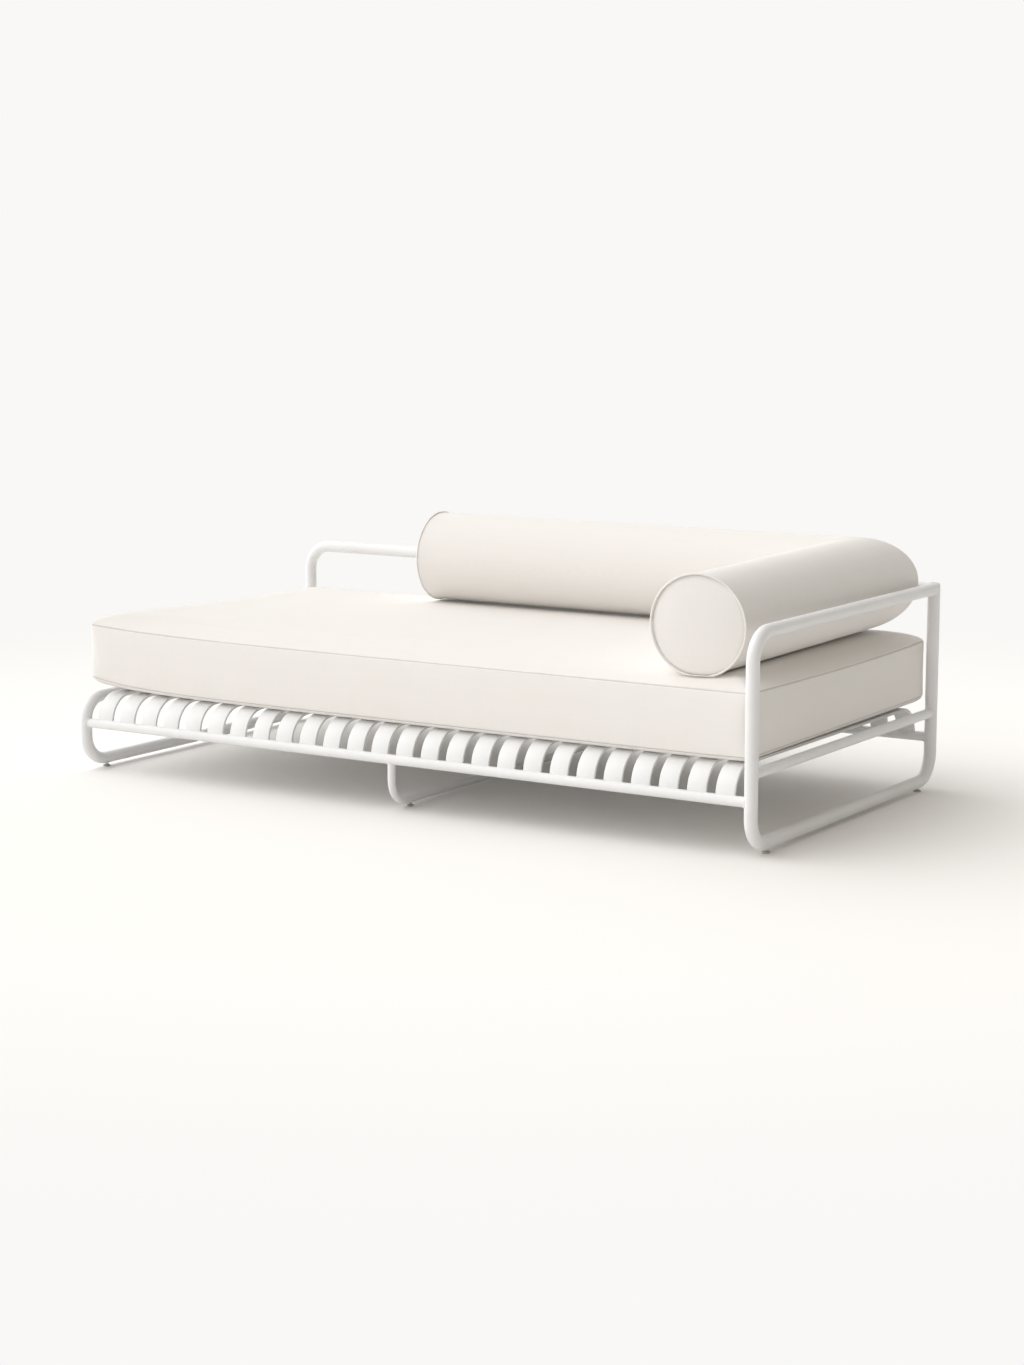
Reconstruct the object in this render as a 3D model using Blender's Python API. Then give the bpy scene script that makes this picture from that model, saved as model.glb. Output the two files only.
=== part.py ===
"""Outdoor daybed: white tube frame, slatted deck, boxed mattress and one L-shaped bolster.

Metres, +Z up. +X points to the end with the raised hoop and -Y to the open front side.
The origin is on the floor, below the middle of the daybed.
"""

from math import cos, pi, radians, sin, sqrt

import bpy
from mathutils import Matrix, Vector

GAP = 0.0003
WELD_GAP = 0.0008

# Frame: distances between tube centre lines, and tube sizes.
FRAME_LENGTH = 2.000
FRAME_DEPTH = 1.009
MAIN_RADIUS = 0.016
MAIN_WALL = 0.002
RAIL_RADIUS = 0.0125
RAIL_WALL = 0.002
LEG_RADIUS = 0.010
LEG_WALL = 0.0015
FOOT_HEIGHT = 0.0085
RUNNER_Z = FOOT_HEIGHT + MAIN_RADIUS
LEG_RUNNER_Z = FOOT_HEIGHT + LEG_RADIUS
LONG_RAIL_Z = 0.131
DECK_TUBE_Z = 0.196
TOP_RAIL_Z = 0.519
BEND = 0.070
DECK_BEND = 0.060
LEG_BEND = 0.060
POST_JOINT_Z = 0.360
BEND_STEPS = 5
MAIN_SIDES = 16
LEG_SIDES = 12

# Deck slats: flat strips whose two ends curve down onto the long rails.
SLAT_COUNT = 26
SLAT_WIDTH = 0.050
SLAT_PITCH = 0.0746
SLAT_THICKNESS = 0.007
SLAT_TOP = 0.212
SLAT_CURVE = 0.0745
SLAT_CURVE_STEPS = 6

# Feet with threaded stems, and the rivet nuts that hold them.
FOOT_RADIUS = 0.010
FOOT_PAD = 0.0042
STEM_RADIUS = 0.004
STEM_TOP = 0.0195
NUT_INNER = STEM_RADIUS + GAP
NUT_OUTER = 0.0056
NUT_BOTTOM = 0.0060
NUT_HEIGHT = 0.0085
FOOT_SETBACK = 0.078
FOOT_SIDES = 12

# Cushions.
COVER_WALL = 0.0015
FILL_GAP = 0.0005
MATTRESS_LEFT = -1.010
MATTRESS_RIGHT = 0.980
MATTRESS_FRONT = -0.474
MATTRESS_REAR = 0.505
MATTRESS_CORNER = 0.028
POST_CORNER = 0.062
CORNER_STEPS = 5
# (how far in from the seam line, height) from the underside to the top of the crown
MATTRESS_LEVELS = (
    (0.060, 0.2125),
    (0.000, 0.2235),
    (-0.0025, 0.285),
    (-0.0025, 0.315),
    (0.000, 0.377),
    (0.060, 0.396),
    (0.120, 0.402),
    (0.220, 0.405),
)

BOLSTER_RADIUS = 0.125
BOLSTER_SIDES = 24
BOLSTER_LEFT = Vector((-0.430, 0.351, 0.533))
BOLSTER_CORNER = Vector((0.843, 0.351, 0.533))
BOLSTER_FRONT = Vector((0.822, -0.430, 0.518))
BOLSTER_DOME = 0.010
BOLSTER_DOME_SHARE = 0.6
BOLSTER_REST = MATTRESS_LEVELS[-1][1] + 2 * GAP

# Zips.
ZIP_WIDTH = 0.008
ZIP_THICKNESS = 0.001
MATTRESS_ZIP_Z = 0.300
MATTRESS_ZIP_HALF = 0.850
BOLSTER_ZIP_START = -0.330
BOLSTER_ZIP_END = 0.600
BOLSTER_ZIP_ANGLE = radians(-52.5)
SLIDER_LENGTH = 0.014
SLIDER_HEIGHT = 0.010
SLIDER_DEPTH = 0.0032
PULL_LENGTH = 0.022
PULL_DEPTH = 0.0012

HALF_LENGTH = FRAME_LENGTH / 2
HALF_DEPTH = FRAME_DEPTH / 2
UP = Vector((0, 0, 1))
RIGHT = Vector((1, 0, 0))
BACK = Vector((0, 1, 0))


def clear_scene():
    for old in list(bpy.data.objects):
        bpy.data.objects.remove(old, do_unlink=True)


def make_material(name, colour, roughness, metallic=0.0):
    material = bpy.data.materials.new(name)
    material.use_nodes = True
    shader = material.node_tree.nodes["Principled BSDF"]
    shader.inputs["Base Color"].default_value = (*colour, 1.0)
    shader.inputs["Roughness"].default_value = roughness
    shader.inputs["Metallic"].default_value = metallic
    return material


def make_object(name, points, faces, material, smooth=True):
    mesh = bpy.data.meshes.new(name)
    mesh.from_pydata([tuple(p) for p in points], [], faces)
    mesh.validate()
    if material:
        mesh.materials.append(material)
    if smooth:
        mesh.shade_smooth()
        mesh.set_sharp_from_angle(angle=radians(35))
    thing = bpy.data.objects.new(name, mesh)
    bpy.context.collection.objects.link(thing)
    return thing


def make_carrier(name, place):
    carrier = bpy.data.objects.new(name, None)
    carrier.empty_display_size = 0.05
    carrier.location = place
    bpy.context.collection.objects.link(carrier)
    return carrier


def hang(thing, carrier):
    """Parent a piece to an empty and keep it where it is."""
    thing.data.transform(Matrix.Translation(-carrier.location))
    thing.parent = carrier


def make_cutter(name, points, faces):
    cutter = make_object(name, points, faces, None, smooth=False)
    cutter.hide_render = True
    cutter.display_type = "WIRE"
    return cutter


def cut_away(thing, cutter):
    modifier = thing.modifiers.new("cut_" + cutter.name, "BOOLEAN")
    modifier.operation = "DIFFERENCE"
    modifier.solver = "EXACT"
    modifier.object = cutter


def loft(rings):
    """Closed skin over rings of equal count, each counter-clockwise seen from the last ring."""
    count = len(rings[0])
    points = [p for ring in rings for p in ring]
    faces = [tuple(reversed(range(count)))]
    for level in range(len(rings) - 1):
        low = level * count
        high = low + count
        for i in range(count):
            j = (i + 1) % count
            faces.append((low + i, low + j, high + j, high + i))
    last = (len(rings) - 1) * count
    faces.append(tuple(range(last, last + count)))
    return points, faces


def box(low, high):
    (x0, y0, z0), (x1, y1, z1) = low, high
    rings = [[(x0, y0, z), (x1, y0, z), (x1, y1, z), (x0, y1, z)] for z in (z0, z1)]
    return loft(rings)


def pillar(x, y, low, high, radius, sides):
    turn = [2 * pi * k / sides for k in range(sides)]
    rings = [[(x + radius * cos(a), y + radius * sin(a), z) for a in turn] for z in (low, high)]
    return loft(rings)


def bent_path(corners, bends):
    """Stations (point, direction) along straight runs whose inner corners are rounded."""
    stations = [(corners[0], (corners[1] - corners[0]).normalized())]
    for i, bend in enumerate(bends, start=1):
        into = (corners[i] - corners[i - 1]).normalized()
        out = (corners[i + 1] - corners[i]).normalized()
        centre = corners[i] + bend * (out - into)
        for step in range(BEND_STEPS + 1):
            turn = 0.5 * pi * step / BEND_STEPS
            point = centre + bend * (into * sin(turn) - out * cos(turn))
            stations.append((point, into * cos(turn) + out * sin(turn)))
    stations.append((corners[-1], (corners[-1] - corners[-2]).normalized()))
    return stations


def make_tube(name, stations, normal, radius, wall, sides, material, start_cut, end_cut):
    """Hollow tube along stations that lie in one plane; its two ends are left open."""
    skins = []
    for size in (radius, radius - wall):
        rings = []
        for point, direction in stations:
            across = direction.cross(normal)
            turn = [2 * pi * k / sides for k in range(sides)]
            rings.append([point + size * (cos(a) * normal + sin(a) * across) for a in turn])
        rings[0] = [start_cut(p) for p in rings[0]]
        rings[-1] = [end_cut(p) for p in rings[-1]]
        skins.append(rings)
    outer, inner = skins
    points = [p for rings in skins for ring in rings for p in ring]
    count = len(stations) * sides
    faces = []
    for level in range(len(stations) - 1):
        low = level * sides
        high = low + sides
        for i in range(sides):
            j = (i + 1) % sides
            faces.append((low + i, low + j, high + j, high + i))
            faces.append((count + low + j, count + low + i, count + high + i, count + high + j))
    last = (len(stations) - 1) * sides
    for i in range(sides):
        j = (i + 1) % sides
        faces.append((j, i, count + i, count + j))
        faces.append((last + i, last + j, count + last + j, count + last + i))
    return make_object(name, points, faces, material)


def cope(move, across, axis_at, radius, side):
    """End cut that follows a round tube: points slide along one axis onto its surface."""

    def cut(point):
        offset = point[across] - axis_at[across]
        done = point.copy()
        done[move] = axis_at[move] + side * sqrt((radius + WELD_GAP) ** 2 - offset**2)
        return done

    return cut


def keep(point):
    return point


# ---------------------------------------------------------------- frame


def make_right_hoop(material):
    """One bent tube; its two ends meet in a mitre at the top rear corner."""
    mitre = GAP / sqrt(2)
    corner = Vector((HALF_LENGTH, HALF_DEPTH, TOP_RAIL_Z))

    def cut_side_tube(point):
        done = point.copy()
        done.y = corner.y + (point.z - corner.z) - mitre
        return done

    def cut_post(point):
        done = point.copy()
        done.z = corner.z + (point.y - corner.y) - mitre
        return done

    corners = [
        corner,
        Vector((HALF_LENGTH, -HALF_DEPTH, TOP_RAIL_Z)),
        Vector((HALF_LENGTH, -HALF_DEPTH, RUNNER_Z)),
        Vector((HALF_LENGTH, HALF_DEPTH, RUNNER_Z)),
        corner,
    ]
    stations = bent_path(corners, [BEND, BEND, BEND])
    return make_tube(
        "right_end_hoop", stations, RIGHT, MAIN_RADIUS, MAIN_WALL, MAIN_SIDES, material,
        cut_side_tube, cut_post,
    )


def make_left_loop(material):
    """Low end loop: deck tube, short front post, floor runner and the rear post."""
    rear_post = Vector((-HALF_LENGTH, HALF_DEPTH, 0))
    corners = [
        Vector((-HALF_LENGTH, HALF_DEPTH, DECK_TUBE_Z)),
        Vector((-HALF_LENGTH, -HALF_DEPTH, DECK_TUBE_Z)),
        Vector((-HALF_LENGTH, -HALF_DEPTH, RUNNER_Z)),
        Vector((-HALF_LENGTH, HALF_DEPTH, RUNNER_Z)),
        Vector((-HALF_LENGTH, HALF_DEPTH, POST_JOINT_Z - GAP)),
    ]
    stations = bent_path(corners, [DECK_BEND, BEND, BEND])
    meet_post = cope(1, 0, rear_post, MAIN_RADIUS, -1)
    return make_tube(
        "left_end_loop", stations, RIGHT, MAIN_RADIUS, MAIN_WALL, MAIN_SIDES, material,
        meet_post, keep,
    )


def make_back_rail(material):
    """Rises from the left rear post, bends, and runs along the back to the hoop's corner."""

    def meet_corner(point):
        offset = max(point.y - HALF_DEPTH, point.z - TOP_RAIL_Z)
        done = point.copy()
        done.x = HALF_LENGTH - sqrt((MAIN_RADIUS + WELD_GAP) ** 2 - offset**2)
        return done

    corners = [
        Vector((-HALF_LENGTH, HALF_DEPTH, POST_JOINT_Z)),
        Vector((-HALF_LENGTH, HALF_DEPTH, TOP_RAIL_Z)),
        Vector((HALF_LENGTH, HALF_DEPTH, TOP_RAIL_Z)),
    ]
    stations = bent_path(corners, [BEND])
    return make_tube(
        "back_rail", stations, BACK, MAIN_RADIUS, MAIN_WALL, MAIN_SIDES, material,
        keep, meet_corner,
    )


def make_long_rail(name, y, material):
    """Straight rail between an end loop and the hoop, coped to both posts."""
    left = Vector((-HALF_LENGTH, y, LONG_RAIL_Z))
    right = Vector((HALF_LENGTH, y, LONG_RAIL_Z))
    return make_tube(
        name, bent_path([left, right], []), BACK, RAIL_RADIUS, RAIL_WALL, MAIN_SIDES, material,
        cope(0, 1, left, MAIN_RADIUS, 1), cope(0, 1, right, MAIN_RADIUS, -1),
    )


def make_side_rail(material):
    front = Vector((HALF_LENGTH, -HALF_DEPTH, DECK_TUBE_Z))
    rear = Vector((HALF_LENGTH, HALF_DEPTH, DECK_TUBE_Z))
    return make_tube(
        "right_side_rail", bent_path([front, rear], []), RIGHT, RAIL_RADIUS, RAIL_WALL,
        MAIN_SIDES, material, cope(1, 0, front, MAIN_RADIUS, 1), cope(1, 0, rear, MAIN_RADIUS, -1),
    )


def make_middle_leg(material):
    """Thin sled leg, coped to the undersides of the two long rails."""
    front = Vector((0, -HALF_DEPTH, LONG_RAIL_Z))
    rear = Vector((0, HALF_DEPTH, LONG_RAIL_Z))
    low_front = Vector((0, -HALF_DEPTH, LEG_RUNNER_Z))
    low_rear = Vector((0, HALF_DEPTH, LEG_RUNNER_Z))
    stations = bent_path([front, low_front, low_rear, rear], [LEG_BEND, LEG_BEND])
    return make_tube(
        "middle_leg", stations, RIGHT, LEG_RADIUS, LEG_WALL, LEG_SIDES, material,
        cope(2, 1, front, RAIL_RADIUS, -1), cope(2, 1, rear, RAIL_RADIUS, -1),
    )


def slat_outline():
    """Side view of one slat as (y, z): the outer skin front to rear, then the inner skin back."""
    foot_z = LONG_RAIL_Z + RAIL_RADIUS + GAP
    centre_y = HALF_DEPTH - SLAT_CURVE
    centre_z = SLAT_TOP - SLAT_CURVE
    outline = []
    for radius, order in ((SLAT_CURVE, 1), (SLAT_CURVE - SLAT_THICKNESS, -1)):
        rise = (foot_z - centre_z) / radius
        start = sqrt(1 - rise**2)
        arc = [(centre_y + radius * start, foot_z)]
        for step in range(1, SLAT_CURVE_STEPS + 1):
            turn = 0.5 * pi * step / SLAT_CURVE_STEPS
            arc.append((centre_y + radius * cos(turn), centre_z + radius * sin(turn)))
        skin = [(-y, z) for y, z in arc] + list(reversed(arc))
        outline.extend(skin[::order])
    return outline


def make_slat(name, left, outline, material):
    rings = [[(x, y, z) for y, z in outline] for x in (left + SLAT_WIDTH, left)]
    points, faces = loft(rings)
    return make_object(name, points, faces, material, smooth=False)


def make_foot(name, x, y, material):
    """Round nylon pad on a threaded stem that stands up into its rivet nut."""
    edge = 0.0012
    profile = (
        (FOOT_RADIUS - edge, 0.0),
        (FOOT_RADIUS, edge),
        (FOOT_RADIUS, FOOT_PAD - edge),
        (FOOT_RADIUS - edge, FOOT_PAD),
        (STEM_RADIUS, FOOT_PAD),
        (STEM_RADIUS, STEM_TOP),
    )
    turn = [2 * pi * k / FOOT_SIDES for k in range(FOOT_SIDES)]
    rings = [[(x + r * cos(a), y + r * sin(a), z) for a in turn] for r, z in profile]
    points, faces = loft(rings)
    return make_object(name, points, faces, material)


def make_rivet_nut(name, x, y, material):
    """Threaded ring set into the underside of a runner, round one foot's stem."""
    turn = [2 * pi * k / FOOT_SIDES for k in range(FOOT_SIDES)]
    top = NUT_BOTTOM + NUT_HEIGHT
    section = ((NUT_OUTER, NUT_BOTTOM), (NUT_OUTER, top), (NUT_INNER, top), (NUT_INNER, NUT_BOTTOM))
    points = [(x + r * cos(a), y + r * sin(a), z) for r, z in section for a in turn]
    faces = []
    for low in range(0, len(points), FOOT_SIDES):
        high = (low + FOOT_SIDES) % len(points)
        for i in range(FOOT_SIDES):
            j = (i + 1) % FOOT_SIDES
            faces.append((low + i, low + j, high + j, high + i))
    return make_object(name, points, faces, material)


def foot_spots(x):
    return ((x, -HALF_DEPTH + FOOT_SETBACK), (x, HALF_DEPTH - FOOT_SETBACK))


def drill_foot_holes(tube, x):
    """Holes in the underside of a runner, one for each rivet nut."""
    for number, (hole_x, hole_y) in enumerate(foot_spots(x), start=1):
        points, faces = pillar(hole_x, hole_y, 0.0, LEG_RUNNER_Z, NUT_OUTER + GAP, FOOT_SIDES)
        cut_away(tube, make_cutter("drill_%s_%d" % (tube.name, number), points, faces))


# ---------------------------------------------------------------- cushions


def mattress_ring(inset, z, wall):
    """Rounded outline, counter-clockwise from above, drawn in by inset plus wall."""
    pull = inset + wall
    corners = (
        (MATTRESS_LEFT, MATTRESS_FRONT, 1, 1, MATTRESS_CORNER, 180),
        (MATTRESS_RIGHT, MATTRESS_FRONT, -1, 1, MATTRESS_CORNER, 270),
        (MATTRESS_RIGHT, MATTRESS_REAR, -1, -1, MATTRESS_CORNER, 0),
        (MATTRESS_LEFT, MATTRESS_REAR, 1, -1, POST_CORNER, 90),
    )
    ring = []
    for x, y, to_x, to_y, corner, start in corners:
        radius = max(corner - pull, 0.5 * corner)
        centre_x = x + to_x * (pull + radius)
        centre_y = y + to_y * (pull + radius)
        for step in range(CORNER_STEPS + 1):
            a = radians(start + 90 * step / CORNER_STEPS)
            ring.append((centre_x + radius * cos(a), centre_y + radius * sin(a), z))
    return ring


def mattress_skin(wall):
    """Closed boxed shape, smaller than the outside by wall on every face."""
    middle = len(MATTRESS_LEVELS) // 2
    rings = []
    for number, (inset, z) in enumerate(MATTRESS_LEVELS):
        lift = wall if number < 2 else -wall if number > middle else 0.0
        rings.append(mattress_ring(inset, z + lift, wall))
    return loft(rings)


def make_mattress(carrier, fabric, foam, tape):
    cover = make_object("mattress_cover", *mattress_skin(0.0), fabric)
    cut_away(cover, make_cutter("mattress_cavity", *mattress_skin(COVER_WALL)))
    face_y = MATTRESS_REAR - MATTRESS_LEVELS[2][0]
    low_z = MATTRESS_ZIP_Z - ZIP_WIDTH / 2
    high_z = MATTRESS_ZIP_Z + ZIP_WIDTH / 2
    slot = box((-MATTRESS_ZIP_HALF, face_y - 0.01, low_z), (MATTRESS_ZIP_HALF, face_y + 0.01, high_z))
    cut_away(cover, make_cutter("mattress_zip_slot", *slot))
    core = make_object("mattress_foam", *mattress_skin(COVER_WALL + FILL_GAP), foam)
    strip = box(
        (-MATTRESS_ZIP_HALF + GAP, face_y - GAP - ZIP_THICKNESS, low_z + GAP),
        (MATTRESS_ZIP_HALF - GAP, face_y - GAP, high_z - GAP),
    )
    zip_tape = make_object("mattress_zip", *strip, tape, smooth=False)
    for thing in (cover, core, zip_tape):
        hang(thing, carrier)
    return face_y


def bolster_skin(wall):
    """Closed L of two round legs that meet in a mitre, with low domes on the two free ends."""
    radius = BOLSTER_RADIUS - wall
    back = (BOLSTER_CORNER - BOLSTER_LEFT).normalized()
    side = (BOLSTER_FRONT - BOLSTER_CORNER).normalized()
    mitre = (back + side).normalized()
    left_end = BOLSTER_LEFT + wall * back
    front_end = BOLSTER_FRONT - wall * side
    spokes = []
    for k in range(BOLSTER_SIDES):
        a = 2 * pi * k / BOLSTER_SIDES
        spokes.append(Vector((0, cos(a), sin(a))))
    seam = [radius * (s - back * s.dot(mitre) / back.dot(mitre)) for s in spokes]
    turned = [(m - side * m.dot(side)) / radius for m in seam]
    low = radius * BOLSTER_DOME_SHARE
    rings = [
        [left_end - BOLSTER_DOME * back + low * s for s in spokes],
        [left_end + radius * s for s in spokes],
        [BOLSTER_CORNER + m for m in seam],
        [front_end + radius * s for s in turned],
        [front_end + BOLSTER_DOME * side + low * s for s in turned],
    ]
    for ring in rings:
        for point in ring:
            point.z = max(point.z, BOLSTER_REST + wall)
    return loft(rings)


def turned_strip(start_x, end_x, near, far, width):
    """Flat strip along +X, standing off the bolster's back leg at the zip's angle."""
    points, faces = box((start_x, near, -width / 2), (end_x, far, width / 2))
    lie = Matrix.Translation((0, BOLSTER_LEFT.y, BOLSTER_LEFT.z))
    lie = lie @ Matrix.Rotation(BOLSTER_ZIP_ANGLE, 4, "X")
    return [lie @ Vector(p) for p in points], faces


def make_bolster(carrier, fabric, fill, tape):
    cover = make_object("bolster_cover", *bolster_skin(0.0), fabric)
    cut_away(cover, make_cutter("bolster_cavity", *bolster_skin(COVER_WALL)))
    face = BOLSTER_RADIUS * cos(pi / BOLSTER_SIDES)
    slot = turned_strip(BOLSTER_ZIP_START, BOLSTER_ZIP_END, face - 0.008, face + 0.008, ZIP_WIDTH)
    cut_away(cover, make_cutter("bolster_zip_slot", *slot))
    core = make_object("bolster_filling", *bolster_skin(COVER_WALL + FILL_GAP), fill)
    strip = turned_strip(
        BOLSTER_ZIP_START + GAP, BOLSTER_ZIP_END - GAP,
        face - GAP - ZIP_THICKNESS, face - GAP, ZIP_WIDTH - 2 * GAP,
    )
    zip_tape = make_object("bolster_zip", *strip, tape, smooth=False)
    for thing in (cover, core, zip_tape):
        hang(thing, carrier)
    return face


def make_slider(name, place, turn, material):
    """Zip slider with its pull hanging: one profile, extruded along the zip."""
    outline = (
        (GAP, SLIDER_HEIGHT / 2),
        (GAP, -SLIDER_HEIGHT / 2),
        (SLIDER_DEPTH - PULL_DEPTH, -SLIDER_HEIGHT / 2),
        (SLIDER_DEPTH - PULL_DEPTH, -SLIDER_HEIGHT / 2 - PULL_LENGTH),
        (SLIDER_DEPTH, -SLIDER_HEIGHT / 2 - PULL_LENGTH),
        (SLIDER_DEPTH, SLIDER_HEIGHT / 2),
    )
    half = SLIDER_LENGTH / 2
    rings = [[(x, y, z) for y, z in outline] for x in (-half, half)]
    points, faces = loft(rings)
    slider = make_object(name, points, faces, material, smooth=False)
    slider.location = place
    slider.rotation_euler.x = turn
    return slider


# ---------------------------------------------------------------- assembly


def build():
    clear_scene()
    white = make_material("white_powder_coat", (0.84, 0.84, 0.83), 0.42)
    fabric = make_material("cream_fabric", (0.83, 0.80, 0.74), 0.92)
    foam = make_material("cream_foam", (0.85, 0.80, 0.62), 0.95)
    fill = make_material("white_filling", (0.88, 0.88, 0.86), 0.95)
    tape = make_material("cream_zip_tape", (0.78, 0.75, 0.69), 0.8)
    nylon = make_material("grey_nylon", (0.42, 0.42, 0.41), 0.5)
    steel = make_material("plated_steel", (0.62, 0.62, 0.61), 0.35, 1.0)

    hoop = make_right_hoop(white)
    loop = make_left_loop(white)
    leg = make_middle_leg(white)
    make_back_rail(white)
    make_long_rail("front_rail", -HALF_DEPTH, white)
    make_long_rail("rear_rail", HALF_DEPTH, white)
    make_side_rail(white)

    outline = slat_outline()
    first_left = -((SLAT_COUNT - 1) * SLAT_PITCH + SLAT_WIDTH) / 2
    for number in range(SLAT_COUNT):
        make_slat("slat_%02d" % (number + 1), first_left + number * SLAT_PITCH, outline, white)

    runners = (("left", loop, -HALF_LENGTH), ("middle", leg, 0.0), ("right", hoop, HALF_LENGTH))
    for end, tube, x in runners:
        drill_foot_holes(tube, x)
        for side, (foot_x, foot_y) in zip(("front", "rear"), foot_spots(x)):
            make_foot("foot_%s_%s" % (end, side), foot_x, foot_y, nylon)
            make_rivet_nut("rivet_nut_%s_%s" % (end, side), foot_x, foot_y, steel)

    mattress_place = Vector((
        (MATTRESS_LEFT + MATTRESS_RIGHT) / 2,
        (MATTRESS_FRONT + MATTRESS_REAR) / 2,
        MATTRESS_LEVELS[0][1],
    ))
    mattress_lift = make_carrier("mattress_lift_axis", mattress_place)
    mattress_face = make_mattress(mattress_lift, fabric, foam, tape)
    bolster_lift = make_carrier("bolster_lift_axis", BOLSTER_CORNER)
    bolster_face = make_bolster(bolster_lift, fabric, fill, tape)
    mattress_slider = make_slider(
        "mattress_zip_slider",
        Vector((-MATTRESS_ZIP_HALF + SLIDER_LENGTH, mattress_face, MATTRESS_ZIP_Z)), 0.0, steel,
    )
    outward = Vector((0, cos(BOLSTER_ZIP_ANGLE), sin(BOLSTER_ZIP_ANGLE)))
    slider_at = Vector((BOLSTER_ZIP_START + SLIDER_LENGTH, BOLSTER_LEFT.y, BOLSTER_LEFT.z))
    bolster_slider = make_slider(
        "bolster_zip_slider", slider_at + bolster_face * outward, BOLSTER_ZIP_ANGLE, steel,
    )
    for slider, carrier in ((mattress_slider, mattress_lift), (bolster_slider, bolster_lift)):
        slider.location -= carrier.location
        slider.parent = carrier


build()
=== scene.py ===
"""Looks of an outdoor daybed: white tube frame, slatted deck, boxed mattress and L-shaped bolster.

Laid out as an add-on and run as a script. Metres, +Z up, the front side faces -Y.
Each operator builds one piece, or one group of like pieces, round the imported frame.
"""

from math import atan2, ceil, cos, exp, hypot, pi, radians, sin, sqrt

import bmesh
import bpy
from bpy.props import FloatProperty, FloatVectorProperty, IntProperty, PointerProperty
from mathutils import Matrix, Vector, noise


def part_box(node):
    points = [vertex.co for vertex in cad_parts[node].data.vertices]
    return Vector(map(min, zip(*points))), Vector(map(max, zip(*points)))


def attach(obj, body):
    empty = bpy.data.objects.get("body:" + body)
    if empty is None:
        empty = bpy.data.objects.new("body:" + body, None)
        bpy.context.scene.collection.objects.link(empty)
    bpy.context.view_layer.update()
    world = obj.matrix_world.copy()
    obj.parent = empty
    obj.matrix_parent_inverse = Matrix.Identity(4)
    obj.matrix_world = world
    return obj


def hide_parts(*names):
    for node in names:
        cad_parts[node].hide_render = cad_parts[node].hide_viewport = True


bl_info = {
    "name": "Daybed looks",
    "version": (1, 0, 0),
    "blender": (4, 5, 0),
    "location": "3D View > Sidebar > Daybed",
    "description": "Builds the visible pieces of an outdoor daybed round its packed frame",
    "category": "Object",
}

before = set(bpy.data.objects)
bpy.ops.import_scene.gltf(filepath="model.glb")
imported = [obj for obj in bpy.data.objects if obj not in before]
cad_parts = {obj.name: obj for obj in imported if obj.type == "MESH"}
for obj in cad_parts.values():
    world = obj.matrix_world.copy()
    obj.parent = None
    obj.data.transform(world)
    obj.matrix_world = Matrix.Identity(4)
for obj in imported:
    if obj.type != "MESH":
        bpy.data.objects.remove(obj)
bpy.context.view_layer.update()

RIGHT = Vector((1, 0, 0))
BACK = Vector((0, 1, 0))
UP = Vector((0, 0, 1))

# ---------------------------------------------------------------- sizes read from the frame

HOOP_LOW, HOOP_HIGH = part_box("right_end_hoop")
MAIN_RADIUS = (HOOP_HIGH.x - HOOP_LOW.x) / 2
HALF_LENGTH = (HOOP_HIGH.x + HOOP_LOW.x) / 2
HALF_DEPTH = HOOP_HIGH.y - MAIN_RADIUS
RUNNER_Z = HOOP_LOW.z + MAIN_RADIUS
TOP_RAIL_Z = HOOP_HIGH.z - MAIN_RADIUS
POST_JOINT_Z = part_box("left_end_loop")[1].z
RAIL_LOW, RAIL_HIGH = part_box("front_rail")
RAIL_RADIUS = (RAIL_HIGH.z - RAIL_LOW.z) / 2
LONG_RAIL_Z = (RAIL_HIGH.z + RAIL_LOW.z) / 2
SIDE_LOW, SIDE_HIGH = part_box("right_side_rail")
DECK_TUBE_Z = (SIDE_HIGH.z + SIDE_LOW.z) / 2
LEG_LOW, LEG_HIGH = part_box("middle_leg")
LEG_RADIUS = (LEG_HIGH.x - LEG_LOW.x) / 2
LEG_RUNNER_Z = LEG_LOW.z + LEG_RADIUS
FIRST_SLAT_LOW, FIRST_SLAT_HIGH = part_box("slat_01")
SECOND_SLAT_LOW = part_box("slat_02")[0]
SLATS = sorted(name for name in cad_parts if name.startswith("slat_"))
FEET = sorted(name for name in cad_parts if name.startswith("foot_"))
NUTS = sorted(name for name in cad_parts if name.startswith("rivet_nut_"))
MATTRESS_LOW, MATTRESS_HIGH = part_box("mattress_cover")
BOLSTER_LOW, BOLSTER_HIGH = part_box("bolster_cover")
ZIP_LOW, ZIP_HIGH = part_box("mattress_zip")
BOLSTER_ZIP_LOW, BOLSTER_ZIP_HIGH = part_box("bolster_zip")


# ---------------------------------------------------------------- settings


def metres(name, description, default):
    return FloatProperty(
        name=name, description=description, default=default, unit="LENGTH", precision=4, min=0.0
    )


def share(name, description, default):
    return FloatProperty(
        name=name, description=description, default=default, subtype="FACTOR", min=0.0, max=1.0
    )


def colour(name, description, default):
    return FloatVectorProperty(
        name=name, description=description, default=default, subtype="COLOR", size=3, min=0, max=1
    )


class DaybedFrameSizes(bpy.types.PropertyGroup):
    """Sizes of the tube frame and deck that the frame's boxes don't give."""

    bend: metres("Tube bend", "Bend radius of the end tubes' centre lines", 0.070)
    deck_bend: metres("Deck tube bend", "Bend radius at the front of the left deck tube", 0.060)
    leg_bend: metres("Middle leg bend", "Bend radius of the middle leg", 0.060)
    slat_curve: metres("Slat end curve", "Outer radius of a slat's curved end", 0.0745)
    slat_thickness: metres("Slat thickness", "Thickness of the slat strip", 0.007)
    slat_edge: metres("Slat edge", "Rounding of the slat's long edges", 0.0013)
    weld_size: metres("Weld size", "Half width of a weld bead", 0.0021)
    weld_pitch: metres("Weld pitch", "Distance between the ripples of a weld", 0.0019)


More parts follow.
